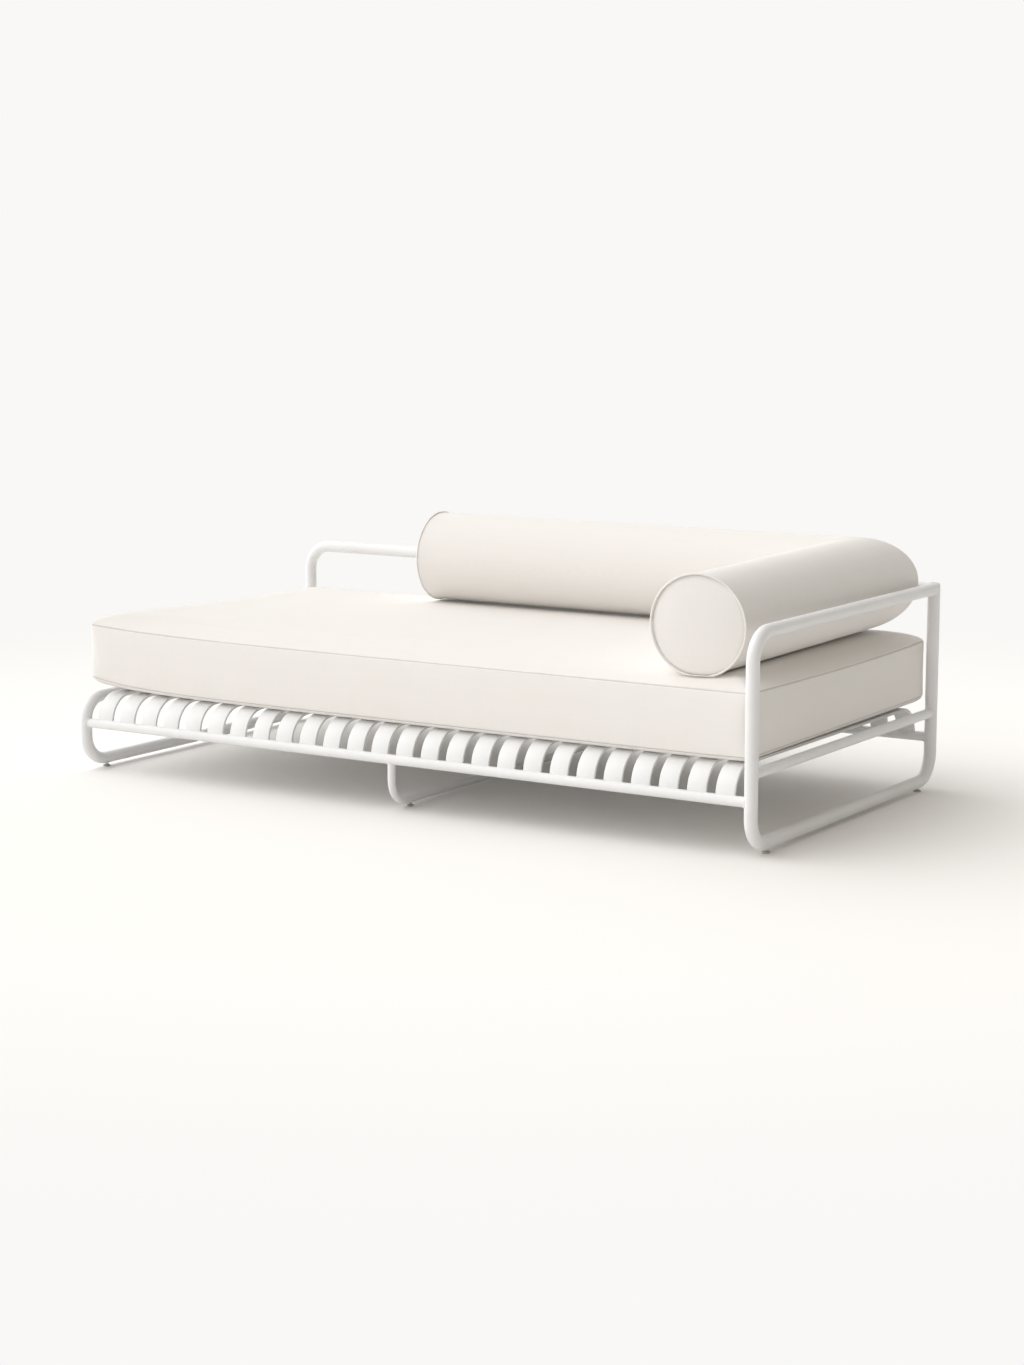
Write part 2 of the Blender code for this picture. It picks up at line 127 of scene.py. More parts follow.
class DaybedCushionSizes(bpy.types.PropertyGroup):
    """Sizes of the two cushions, their seams and their zips."""

    cell: metres("Mattress cell", "Size of the mattress mesh's cells before subdivision", 0.020)
    seam_height: metres("Upper seam height", "Height of the mattress's upper seam", 0.3765)
    crown: metres("Crown", "Rise of the sewn mattress top above its upper seam", 0.0295)
    swell: metres("Swell", "Most that the filling pushes the cover out", 0.0055)
    seam_depth: metres("Seam depth", "Depth of the groove along a seam", 0.0048)
    bolster_radius: metres("Bolster radius", "Radius of the bolster at its seams", 0.1208)
    bolster_axis: metres("Bolster axis", "Height of the back leg's centre line", 0.5360)
    bolster_front: metres("Bolster front", "Height of the centre of the front cap", 0.5175)
    dome: metres("Cap dome", "How far an end cap stands out at its middle", 0.008)
    piping: metres("Piping", "Radius of the piping round an end cap", 0.0028)
    sink: metres("Sink", "How far the bolster settles into the mattress", 0.004)
    pressure: FloatProperty(
        name="Filling pressure", description="Pressure that swells a cover", default=4.0, min=0.0
    )
    frames: IntProperty(
        name="Swell frames", description="Frames that the cover swells for", default=20, min=2
    )


class DaybedClothLook(bpy.types.PropertyGroup):
    """Colours and weave of the covers, and colours of the zips."""

    cream: colour("Cover colour", "Colour of the woven cover", (0.814, 0.783, 0.752))
    # Painted shade: the cloth darkens toward this colour where the weave dips between the yarns.
    shade: colour("Yarn shade", "Colour between the yarns", (0.716, 0.682, 0.633))
    pale: colour("Slub colour", "Colour of the thicker yarns", (0.860, 0.838, 0.811))
    yarn: metres("Yarn pitch", "Distance between two yarns", 0.0009)
    roughness: share("Roughness", "Roughness of the cloth", 0.92)
    sheen: share("Sheen", "Strength of the soft sheen", 0.22)
    # Painted shade: along the seams the cover's colour darkens toward this colour, standing in for the
    # crease's shade.
    seam: colour("Seam colour", "Colour deep in a seam", (0.400, 0.370, 0.315))
    thread: colour("Thread colour", "Colour of the sewing thread", (0.800, 0.775, 0.730))
    teeth: colour("Zip teeth colour", "Colour of the zip's coil", (0.780, 0.760, 0.720))


class DaybedFrameLook(bpy.types.PropertyGroup):
    """Finish of the frame, feet and small metal parts."""

    coat: colour("Coat colour", "Colour of the powder coat", (0.815, 0.812, 0.812))
    coat_roughness: share("Coat roughness", "Roughness of the powder coat", 0.44)
    peel: metres("Peel size", "Size of the coat's fine ripple", 0.0016)
    nylon: colour("Foot colour", "Colour of the nylon feet", (0.420, 0.415, 0.400))
    steel: colour("Steel colour", "Colour of the plated steel", (0.560, 0.555, 0.545))


class DaybedStudioLook(bpy.types.PropertyGroup):
    """Backdrop, light and camera."""

    backdrop: colour("Backdrop", "Colour of the backdrop and of the distant floor", (0.947, 0.939, 0.922))
    floor: colour("Floor", "Colour of the floor near the daybed", (0.900, 0.882, 0.862))
    floor_radius: metres("Floor radius", "Radius of the floor", 40.0)
    fade_start: metres("Fade start", "Distance where the floor begins to glow like the backdrop", 1.7)
    fade_end: metres("Fade end", "Distance where the floor glows exactly like the backdrop", 3.4)
    soft: FloatProperty(name="Soft light", description="Strength of the light from all round", default=0.75)
    dim: share("Dim side", "Share of the soft light that the right side gives", 0.50)
    wall: FloatProperty(name="Light wall", description="Strength of the low wall of light", default=1.6)
    key: FloatProperty(name="Key light", description="Strength of the broad key light", default=0.75)
    camera_place: FloatVectorProperty(
        name="Camera place", description="Where the camera stands", default=(3.698, -5.7511, 1.3382),
        subtype="TRANSLATION", unit="LENGTH",
    )
    camera_tilt: FloatProperty(
        name="Camera tilt", description="Angle from straight down", default=radians(81.012),
        subtype="ANGLE", unit="ROTATION",
    )
    camera_turn: FloatProperty(
        name="Camera turn", description="Turn about the vertical", default=radians(32.51),
        subtype="ANGLE", unit="ROTATION",
    )
    lens: FloatProperty(name="Lens", description="Focal length in millimetres", default=69.35)


# ---------------------------------------------------------------- meshes


def make_mesh(name, points, faces, uvs=None):
    """Smooth shaded mesh; uvs holds one (u, v) in metres for each corner of each face."""
    mesh = bpy.data.meshes.new(name)
    mesh.from_pydata([tuple(p) for p in points], [], faces)
    if uvs:
        layer = mesh.uv_layers.new(name="cloth")
        layer.data.foreach_set("uv", [value for corner in uvs for uv in corner for value in uv])
    mesh.shade_smooth()
    return mesh


def make_object(name, mesh, material, sharp=None):
    if sharp:
        mesh.set_sharp_from_angle(angle=sharp)
    if material:
        mesh.materials.clear()
        mesh.materials.append(material)
    thing = bpy.data.objects.new(name, mesh)
    bpy.context.scene.collection.objects.link(thing)
    return thing


def hand_over(thing, body, slot, *nodes):
    """The piece moves with a body and stands for the nodes named; the slot argument is not used."""
    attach(thing, body)
    if nodes:
        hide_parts(*nodes)
    return thing


def skin(rings, closed=False, capped=True):
    """Faces over rings of equal count, each counter-clockwise seen from the last ring."""
    count = len(rings[0])
    points = [p for ring in rings for p in ring]
    faces = []
    levels = len(rings) if closed else len(rings) - 1
    for level in range(levels):
        low = level * count
        high = (level + 1) % len(rings) * count
        for i in range(count):
            j = (i + 1) % count
            faces.append((low + i, low + j, high + j, high + i))
    if capped and not closed:
        last = (len(rings) - 1) * count
        faces.append(tuple(reversed(range(count))))
        faces.append(tuple(range(last, last + count)))
    return points, faces


def circle(sides):
    return [2 * pi * k / sides for k in range(sides)]


def turned(profile, sides):
    """Solid turned about Z from (radius, height) points, bottom to top."""
    rings = [[Vector((r * cos(a), r * sin(a), z)) for a in circle(sides)] for r, z in profile]
    return skin(rings)


def smooth_min(a, b, blend):
    return 0.5 * (a + b - sqrt((a - b) ** 2 + blend**2))


def smooth_max(a, b, blend):
    return 0.5 * (a + b + sqrt((a - b) ** 2 + blend**2))


# ---------------------------------------------------------------- node trees


def add_node(tree, kind, values=None, **settings):
    """New node; a value is set on its input, or linked where it is another node's output."""
    made = tree.nodes.new(kind)
    for name, value in settings.items():
        setattr(made, name, value)
    for key, value in (values or {}).items():
        if isinstance(value, bpy.types.NodeSocket):
            tree.links.new(value, made.inputs[key])
        else:
            made.inputs[key].default_value = value
    return made


def calculated(tree, operation, *values):
    made = add_node(tree, "ShaderNodeMath", dict(enumerate(values)), operation=operation)
    return made.outputs[0]


def blend_colours(tree, factor, a, b):
    made = tree.nodes.new("ShaderNodeMix")
    made.data_type = "RGBA"
    for name, value in (("Factor_Float", factor), ("A_Color", a), ("B_Color", b)):
        socket = next(s for s in made.inputs if s.identifier == name)
        if isinstance(value, bpy.types.NodeSocket):
            tree.links.new(value, socket)
        elif name == "Factor_Float":
            socket.default_value = value
        else:
            socket.default_value = (*value, 1.0)
    return next(s for s in made.outputs if s.identifier == "Result_Color")


def new_material(name, roughness, metallic=0.0):
    material = bpy.data.materials.get(name)
    if material:
        bpy.data.materials.remove(material)
    material = bpy.data.materials.new(name)
    material.use_nodes = True
    shader = material.node_tree.nodes["Principled BSDF"]
    shader.inputs["Roughness"].default_value = roughness
    shader.inputs["Metallic"].default_value = metallic
    return material, material.node_tree, shader


def stretched_noise(tree, uv, along, across, detail):
    """Noise drawn out along the cloth: its scales are turns for each metre."""
    placed = add_node(tree, "ShaderNodeMapping", {"Vector": uv, "Scale": (along, across, 1.0)})
    made = add_node(
        tree, "ShaderNodeTexNoise", {"Vector": placed.outputs[0], "Scale": 1.0, "Detail": detail}
    )
    return made.outputs["Fac"]


def cover_cloth(name, look, yarn, turn=0.0):
    """Plain weave of warp and weft with painted shade between the yarns and along the seams, a few thicker
    yarns and faint streaks.
    """
    material, tree, shader = new_material(name, look.roughness)
    shader.inputs["Sheen Weight"].default_value = look.sheen
    shader.inputs["Sheen Roughness"].default_value = 0.5
    shader.inputs["Specular IOR Level"].default_value = 0.25
    source = add_node(tree, "ShaderNodeUVMap", uv_map="cloth").outputs[0]
    uv = add_node(tree, "ShaderNodeMapping", {"Vector": source, "Rotation": (0, 0, turn)}).outputs[0]
    grid = add_node(tree, "ShaderNodeSeparateXYZ", {0: uv})
    warp = calculated(tree, "SINE", calculated(tree, "MULTIPLY", grid.outputs[0], pi / yarn))
    weft = calculated(tree, "SINE", calculated(tree, "MULTIPLY", grid.outputs[1], pi / yarn))
    over = calculated(tree, "GREATER_THAN", calculated(tree, "MULTIPLY", warp, weft), 0.0)
    warp_top = calculated(tree, "ABSOLUTE", warp)
    weft_top = calculated(tree, "ABSOLUTE", weft)
    warp_high = calculated(tree, "MULTIPLY", warp_top, calculated(tree, "MULTIPLY_ADD", weft_top, 0.4, 0.6))
    weft_high = calculated(tree, "MULTIPLY", weft_top, calculated(tree, "MULTIPLY_ADD", warp_top, 0.4, 0.6))
    gap = calculated(tree, "SUBTRACT", warp_high, weft_high)
    weave = calculated(tree, "MULTIPLY_ADD", over, gap, weft_high)

    slub_weft = stretched_noise(tree, uv, 22.0, 0.9 / yarn, 1.0)
    slub_warp = stretched_noise(tree, uv, 0.9 / yarn, 22.0, 1.0)
    slubs = calculated(tree, "MAXIMUM", slub_weft, slub_warp)
    slub = add_node(
        tree, "ShaderNodeMapRange", {"Value": slubs, "From Min": 0.62, "From Max": 0.80}
    ).outputs[0]
    streak_warp = stretched_noise(tree, uv, 95.0, 3.0, 3.0)
    streak_weft = stretched_noise(tree, uv, 3.0, 95.0, 3.0)
    streak = calculated(tree, "MULTIPLY", calculated(tree, "ADD", streak_warp, streak_weft), 0.5)
    cloud = stretched_noise(tree, uv, 5.0, 5.0, 2.0)
    tone = calculated(tree, "MULTIPLY_ADD", cloud, 0.5, calculated(tree, "MULTIPLY", streak, 0.9))
    lift = add_node(
        tree, "ShaderNodeMapRange", {"Value": tone, "From Min": 0.45, "From Max": 0.95}
    ).outputs[0]
    # Painted shade between the yarns: the colour darkens toward the yarn shade where the weave is low.
    deep = calculated(tree, "SUBTRACT", 0.24, calculated(tree, "MULTIPLY", weave, 0.24))
    weave_with_painted_shade = blend_colours(tree, deep, look.cream, look.shade)
    toned = blend_colours(tree, calculated(tree, "MULTIPLY", lift, 0.28), weave_with_painted_shade, look.pale)
    woven = blend_colours(tree, calculated(tree, "MULTIPLY", slub, 0.4), toned, look.pale)
    # Painted shade along the seams: the seam attribute blends the cloth toward the seam colour.
    sewn = add_node(tree, "ShaderNodeAttribute", attribute_name="seam").outputs["Fac"]
    with_painted_seam_shade = blend_colours(tree, sewn, woven, look.seam)
    tree.links.new(with_painted_seam_shade, shader.inputs["Base Color"])

    height = calculated(tree, "MULTIPLY_ADD", slub, 0.6, weave)
    bump = add_node(tree, "ShaderNodeBump", {"Strength": 0.22, "Distance": 0.45 * yarn, "Height": height})
    tree.links.new(bump.outputs[0], shader.inputs["Normal"])
    return material


def powder_coat(look):
    """Matt white coat with a fine ripple, and a slightly uneven gloss."""
    material, tree, shader = new_material("white_powder_coat", look.coat_roughness)
    place = add_node(tree, "ShaderNodeTexCoord").outputs["Object"]
    peel = add_node(
        tree, "ShaderNodeTexNoise",
        {"Vector": place, "Scale": 1.0 / look.peel, "Detail": 2.0, "Roughness": 0.6},
    ).outputs["Fac"]
    patch = add_node(
        tree, "ShaderNodeTexNoise", {"Vector": place, "Scale": 9.0, "Detail": 3.0}
    ).outputs["Fac"]
    tint = tuple(0.965 * c for c in look.coat)
    factor = add_node(
        tree, "ShaderNodeMapRange", {"Value": patch, "From Min": 0.35, "From Max": 0.65}
    ).outputs[0]
    tree.links.new(blend_colours(tree, factor, tint, look.coat), shader.inputs["Base Color"])
    gloss = add_node(
        tree, "ShaderNodeMapRange",
        {"Value": patch, "From Min": 0.3, "From Max": 0.7,
         "To Min": look.coat_roughness - 0.05, "To Max": look.coat_roughness + 0.05},
    ).outputs[0]
    tree.links.new(gloss, shader.inputs["Roughness"])
    bump = add_node(tree, "ShaderNodeBump", {"Strength": 0.30, "Distance": 0.00012, "Height": peel})
    tree.links.new(bump.outputs[0], shader.inputs["Normal"])
    return material


def speckled(name, tone, roughness, metallic, grain):
    """Moulded nylon or plated steel: a fine grain in its colour, gloss and surface."""
    material, tree, shader = new_material(name, roughness, metallic)
    place = add_node(tree, "ShaderNodeTexCoord").outputs["Object"]
    fine = add_node(
        tree, "ShaderNodeTexNoise", {"Vector": place, "Scale": grain, "Detail": 4.0}
    ).outputs["Fac"]
    worn = tuple(min(1.0, 1.25 * c) for c in tone)
    tree.links.new(blend_colours(tree, fine, tone, worn), shader.inputs["Base Color"])
    gloss = calculated(tree, "MULTIPLY_ADD", fine, 0.2, roughness - 0.1)
    tree.links.new(gloss, shader.inputs["Roughness"])
    bump = add_node(tree, "ShaderNodeBump", {"Strength": 0.3, "Distance": 0.0001, "Height": fine})
    tree.links.new(bump.outputs[0], shader.inputs["Normal"])
    return material


def twisted_thread(name, tone):
    """Sewing thread: a fine twist from a wave across it, with painted shade in the twist's grooves."""
    material, tree, shader = new_material(name, 0.7)
    place = add_node(tree, "ShaderNodeTexCoord").outputs["Object"]
    twist = add_node(
        tree, "ShaderNodeTexWave", {"Vector": place, "Scale": 900.0, "Distortion": 1.0},
        bands_direction="DIAGONAL",
    ).outputs["Fac"]
    # Painted shade: the thread darkens where the twist wave is low.
    twist_groove_shade = tuple(0.88 * c for c in tone)
    tree.links.new(blend_colours(tree, twist, twist_groove_shade, tone), shader.inputs["Base Color"])
    bump = add_node(tree, "ShaderNodeBump", {"Strength": 0.4, "Distance": 0.0001, "Height": twist})
    tree.links.new(bump.outputs[0], shader.inputs["Normal"])
    return material


# ---------------------------------------------------------------- geometry nodes


def new_tree(name, inputs):
    tree = bpy.data.node_groups.new(name, "GeometryNodeTree")
    face = tree.interface
    face.new_socket("Geometry", in_out="INPUT", socket_type="NodeSocketGeometry")
    for label, kind in inputs:
        face.new_socket(label, in_out="INPUT", socket_type=kind)
    face.new_socket("Geometry", in_out="OUTPUT", socket_type="NodeSocketGeometry")
    return tree, tree.nodes.new("NodeGroupInput")


def close_tree(tree, given, instances):
    """Realize the instances, give them their material and hand them out."""
    real = add_node(tree, "GeometryNodeRealizeInstances", {0: instances})
    painted = add_node(
        tree, "GeometryNodeSetMaterial",
        {"Geometry": real.outputs[0], "Material": given.outputs["Material"]},
    )
    add_node(tree, "NodeGroupOutput", {0: painted.outputs[0]})
    return tree


def row_tree():
    """Copies of the incoming piece in a straight row."""
    tree, given = new_tree(
        "copies_in_a_row",
        (("Count", "NodeSocketInt"), ("Step", "NodeSocketVector"), ("Material", "NodeSocketMaterial")),
    )
    line = add_node(
        tree, "GeometryNodeMeshLine",
        {"Count": given.outputs["Count"], "Offset": given.outputs["Step"]},
    )
    copies = add_node(
        tree, "GeometryNodeInstanceOnPoints",
        {"Points": line.outputs[0], "Instance": given.outputs["Geometry"]},
    )
    return close_tree(tree, given, copies.outputs[0])


def spots_tree():
    """Copies of a piece at each point of the incoming mesh."""
    tree, given = new_tree(
        "copies_at_points", (("Piece", "NodeSocketObject"), ("Material", "NodeSocketMaterial"))
    )
    info = add_node(tree, "GeometryNodeObjectInfo", {"Object": given.outputs["Piece"]})
    copies = add_node(
        tree, "GeometryNodeInstanceOnPoints",
        {"Points": given.outputs["Geometry"], "Instance": info.outputs["Geometry"]},
    )
    return close_tree(tree, given, copies.outputs[0])


def path_tree():
    """Copies of a piece along the incoming edges, its X axis along them."""
    tree, given = new_tree(
        "copies_along_a_path",
        (("Piece", "NodeSocketObject"), ("Pitch", "NodeSocketFloat"), ("Material", "NodeSocketMaterial")),
    )
    info = add_node(tree, "GeometryNodeObjectInfo", {"Object": given.outputs["Piece"]})
    curve = add_node(tree, "GeometryNodeMeshToCurve", {0: given.outputs["Geometry"]})
    even = add_node(
        tree, "GeometryNodeResampleCurve",
        {"Curve": curve.outputs[0], "Length": given.outputs["Pitch"]}, mode="LENGTH",
    )
    tangent = add_node(tree, "GeometryNodeInputTangent")
    turn = add_node(
        tree, "FunctionNodeAlignRotationToVector", {"Vector": tangent.outputs[0]}, axis="X"
    )
    copies = add_node(
        tree, "GeometryNodeInstanceOnPoints",
        {
            "Points": even.outputs[0],
            "Instance": info.outputs["Geometry"],
            "Rotation": turn.outputs[0],
        },
    )
    return close_tree(tree, given, copies.outputs[0])


def grown(name, start, tree, values):
    """Plain mesh object from a start mesh and a tree whose inputs are set by identifier."""
    seed = make_object(name + "_seed", start, None)
    modifier = seed.modifiers.new("grow", "NODES")
    modifier.node_group = tree
    for item in tree.interface.items_tree:
        if item.in_out == "INPUT" and item.name in values:
            modifier[item.identifier] = values[item.name]
    bpy.context.view_layer.update()
    graph = bpy.context.evaluated_depsgraph_get()
    mesh = bpy.data.meshes.new_from_object(seed.evaluated_get(graph), depsgraph=graph)
    bpy.data.objects.remove(seed)
    mesh.name = name
    thing = bpy.data.objects.new(name, mesh)
    bpy.context.scene.collection.objects.link(thing)
    if not mesh.polygons:
        raise RuntimeError(name + " came out of its node tree empty")
    return thing


def edges_mesh(name, loops, closed=True):
    """Mesh of edges only, one chain for each list of points."""
    points = []
    edges = []
    for loop in loops:
        first = len(points)
        points.extend(tuple(p) for p in loop)
        count = len(loop)
        edges.extend((first + i, first + (i + 1) % count) for i in range(count if closed else count - 1))
    mesh = bpy.data.meshes.new(name)
    mesh.from_pydata(points, edges, [])
    return mesh


# ---------------------------------------------------------------- tubes


TUBE_SIDES = 40
BEND_STEPS = 14


def bent_path(corners, bends):
    """Stations (point, direction) along straight runs whose inner corners are rounded."""
    stations = [(corners[0], (corners[1] - corners[0]).normalized())]
    for i, bend in enumerate(bends, start=1):
        into = (corners[i] - corners[i - 1]).normalized()
        out = (corners[i + 1] - corners[i]).normalized()
        centre = corners[i] + bend * (out - into)
        for step in range(BEND_STEPS + 1):
            turn = 0.5 * pi * step / BEND_STEPS
            point = centre + bend * (into * sin(turn) - out * cos(turn))
            stations.append((point, into * cos(turn) + out * sin(turn)))
    stations.append((corners[-1], (corners[-1] - corners[-2]).normalized()))
    return stations


def tube_rings(stations, normal, radius):
    """Rings round stations that lie in one plane."""
    rings = []
    for point, direction in stations:
        across = direction.cross(normal)
        rings.append([point + radius * (cos(a) * normal + sin(a) * across) for a in circle(TUBE_SIDES)])
    return rings


# How far a tube end stands inside the tube that it is welded to.
WELD_DEPTH = 0.001


def sink_end(ring, move, across, post, radius, side):
    """Slide an end ring along one axis until it lies just inside a round post."""
    inside = radius - WELD_DEPTH
    for point in ring:
        offset = min(abs(point[across] - post[across]), inside)
        point[move] = post[move] + side * sqrt(inside**2 - offset**2)


def make_tube(name, rings, material, nodes, closed=False):
    points, faces = skin(rings, closed)
    thing = make_object(name, make_mesh(name, points, faces), material, radians(35))
    return hand_over(thing, "frame", "powder_coat", *nodes)


def build_hoop(sizes, coat):
    """Raised end: one tube whose two ends meet in a mitre at the top rear corner."""
    corner = Vector((HALF_LENGTH, HALF_DEPTH, TOP_RAIL_Z))
    corners = [
        corner,
        Vector((HALF_LENGTH, -HALF_DEPTH, TOP_RAIL_Z)),
        Vector((HALF_LENGTH, -HALF_DEPTH, RUNNER_Z)),
        Vector((HALF_LENGTH, HALF_DEPTH, RUNNER_Z)),
        corner,
    ]
    rings = tube_rings(bent_path(corners, [sizes.bend] * 3), RIGHT, MAIN_RADIUS)
    for point in rings[0]:
        point.y = corner.y + (point.z - corner.z)
    make_tube("hoop_tube", rings[:-1], coat, ["right_end_hoop"], closed=True)


def build_left_loop(sizes, coat):
    """Low end: deck tube, front bend, floor runner and the rear post, up to the post's joint."""
    post = Vector((-HALF_LENGTH, HALF_DEPTH, 0))
    corners = [
        Vector((-HALF_LENGTH, HALF_DEPTH, DECK_TUBE_Z)),
        Vector((-HALF_LENGTH, -HALF_DEPTH, DECK_TUBE_Z)),
        Vector((-HALF_LENGTH, -HALF_DEPTH, RUNNER_Z)),
        Vector((-HALF_LENGTH, HALF_DEPTH, RUNNER_Z)),
        Vector((-HALF_LENGTH, HALF_DEPTH, POST_JOINT_Z)),
    ]
    bends = [sizes.deck_bend, sizes.bend, sizes.bend]
    rings = tube_rings(bent_path(corners, bends), RIGHT, MAIN_RADIUS)
    sink_end(rings[0], 1, 0, post, MAIN_RADIUS, -1)
    make_tube("left_loop_tube", rings, coat, ["left_end_loop"])


def build_back_rail(sizes, coat):
    """Rises from the left rear post, bends, and runs along the back into the hoop's corner."""
    corners = [
        Vector((-HALF_LENGTH, HALF_DEPTH, POST_JOINT_Z)),
        Vector((-HALF_LENGTH, HALF_DEPTH, TOP_RAIL_Z)),
        Vector((HALF_LENGTH, HALF_DEPTH, TOP_RAIL_Z)),
    ]
    rings = tube_rings(bent_path(corners, [sizes.bend]), BACK, MAIN_RADIUS)
    inside = MAIN_RADIUS - WELD_DEPTH
    for point in rings[-1]:
        offset = max(point.y - HALF_DEPTH, point.z - TOP_RAIL_Z)
        point.x = HALF_LENGTH - sqrt(max(inside**2 - offset**2, 0.0))
    make_tube("back_rail_tube", rings, coat, ["back_rail"])


def build_straight_rails(coat):
    for side, y in (("front", -HALF_DEPTH), ("rear", HALF_DEPTH)):
        left = Vector((-HALF_LENGTH, y, LONG_RAIL_Z))
        right = Vector((HALF_LENGTH, y, LONG_RAIL_Z))
        rings = tube_rings(bent_path([left, right], []), BACK, RAIL_RADIUS)
        sink_end(rings[0], 0, 1, left, MAIN_RADIUS, 1)
        sink_end(rings[1], 0, 1, right, MAIN_RADIUS, -1)
        make_tube(side + "_rail_tube", rings, coat, [side + "_rail"])
    front = Vector((HALF_LENGTH, -HALF_DEPTH, DECK_TUBE_Z))
    rear = Vector((HALF_LENGTH, HALF_DEPTH, DECK_TUBE_Z))
    rings = tube_rings(bent_path([front, rear], []), RIGHT, RAIL_RADIUS)
    sink_end(rings[0], 1, 0, front, MAIN_RADIUS, 1)
    sink_end(rings[1], 1, 0, rear, MAIN_RADIUS, -1)
    make_tube("side_rail_tube", rings, coat, ["right_side_rail"])


def build_middle_leg(sizes, coat):
    front = Vector((0, -HALF_DEPTH, LONG_RAIL_Z))
    rear = Vector((0, HALF_DEPTH, LONG_RAIL_Z))
    low_front = Vector((0, -HALF_DEPTH, LEG_RUNNER_Z))
    low_rear = Vector((0, HALF_DEPTH, LEG_RUNNER_Z))
    corners = [front, low_front, low_rear, rear]
    rings = tube_rings(bent_path(corners, [sizes.leg_bend] * 2), RIGHT, LEG_RADIUS)
    sink_end(rings[0], 2, 1, front, RAIL_RADIUS, -1)
    sink_end(rings[-1], 2, 1, rear, RAIL_RADIUS, -1)
    make_tube("middle_leg_tube", rings, coat, ["middle_leg"])


def weld_line(joint, out, post_axis, radius, post_radius):
    """Closed line where a tube running out from a joint meets a round post."""
    side = out.cross(post_axis)
    line = []
    for a in circle(TUBE_SIDES):
        offset = radius * sin(a)
        reach = sqrt(max(post_radius**2 - offset**2, 0.0))
        line.append(joint + reach * out + radius * cos(a) * post_axis + offset * side)
    return line


def corner_weld_line():
    """Line where the back rail meets the mitred corner of the hoop."""
    line = []
    for a in circle(TUBE_SIDES):
        y = MAIN_RADIUS * cos(a)
        z = MAIN_RADIUS * sin(a)
        reach = sqrt(max(MAIN_RADIUS**2 - max(y, z) ** 2, 0.0))
        line.append(Vector((HALF_LENGTH - reach, HALF_DEPTH + y, TOP_RAIL_Z + z)))
    return line


def build_welds(sizes, coat):
    """Rippled beads at every joint of two tubes."""
    lines = [corner_weld_line()]
    for side in (-1, 1):
        y = side * HALF_DEPTH
        for end in (-1, 1):
            joint = Vector((end * HALF_LENGTH, y, LONG_RAIL_Z))
            lines.append(weld_line(joint, -end * RIGHT, UP, RAIL_RADIUS, MAIN_RADIUS))
        joint = Vector((HALF_LENGTH, y, DECK_TUBE_Z))
        lines.append(weld_line(joint, -side * BACK, UP, RAIL_RADIUS, MAIN_RADIUS))
        joint = Vector((0, y, LONG_RAIL_Z))
        lines.append(weld_line(joint, -UP, RIGHT, LEG_RADIUS, RAIL_RADIUS))
    joint = Vector((-HALF_LENGTH, HALF_DEPTH, DECK_TUBE_Z))
    lines.append(weld_line(joint, -BACK, UP, MAIN_RADIUS, MAIN_RADIUS))
    size = sizes.weld_size
    profile = [(size * cos(a), 0.8 * size * sin(a)) for a in (-1.2, -0.6, 0.0, 0.6, 1.2)]
    points, faces = turned(profile, 10)
    points = [Matrix.Rotation(pi / 2, 3, "Y") @ p for p in points]
    ripple = make_object("weld_ripple", make_mesh("weld_ripple", points, faces), coat)
    values = {"Piece": ripple, "Pitch": sizes.weld_pitch, "Material": coat}
    beads = grown("weld_beads", edges_mesh("weld_lines", lines), path_tree(), values)
    bpy.data.objects.remove(ripple)
    hand_over(beads, "frame", "powder_coat")


# ---------------------------------------------------------------- deck and feet


def slat_rings(sizes):
    """One strip, rounded in section, with both ends curving down onto the rails."""
    width = FIRST_SLAT_HIGH.x - FIRST_SLAT_LOW.x
    middle_x = (FIRST_SLAT_HIGH.x + FIRST_SLAT_LOW.x) / 2
    half_thick = sizes.slat_thickness / 2
    edge = sizes.slat_edge
    section = []
    for sx, sz, start in ((1, -1, -90), (1, 1, 0), (-1, 1, 90), (-1, -1, 180)):
        for step in range(4):
            a = radians(start + 30 * step)
            x = sx * (width / 2 - edge) + edge * cos(a)
            section.append((x, sz * (half_thick - edge) + edge * sin(a)))
    curve = sizes.slat_curve - half_thick
    centre_y = HALF_DEPTH - sizes.slat_curve
    centre_z = FIRST_SLAT_HIGH.z - sizes.slat_curve
    foot_turn = atan2(LONG_RAIL_Z + RAIL_RADIUS - 0.002 - centre_z, curve)
    steps = 12
    arc = [foot_turn + (pi / 2 - foot_turn) * k / steps for k in range(steps + 1)]
    stations = [(-1, a) for a in arc] + [(1, a) for a in reversed(arc)]
    rings = []
    for side, a in stations:
        out = Vector((0, side * cos(a), sin(a)))
        point = Vector((middle_x, side * centre_y, centre_z)) + curve * out
        rings.append([point + RIGHT * x + out * z for x, z in section])
    return rings


def build_slats(sizes, coat):
    name = "deck_slats"
    points, faces = skin(slat_rings(sizes))
    mesh = make_mesh(name, points, faces)
    mesh.set_sharp_from_angle(angle=radians(50))
    step = Vector((SECOND_SLAT_LOW.x - FIRST_SLAT_LOW.x, 0, 0))
    values = {"Count": len(SLATS), "Step": step, "Material": coat}
    slats = grown(name, mesh, row_tree(), values)
    hand_over(slats, "frame", "powder_coat", *SLATS)


def foot_spots():
    """Middle of the underside of every foot."""
    spots = []
    for name in FEET:
        low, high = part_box(name)
        spots.append(((low.x + high.x) / 2, (low.y + high.y) / 2, low.z))
    return spots


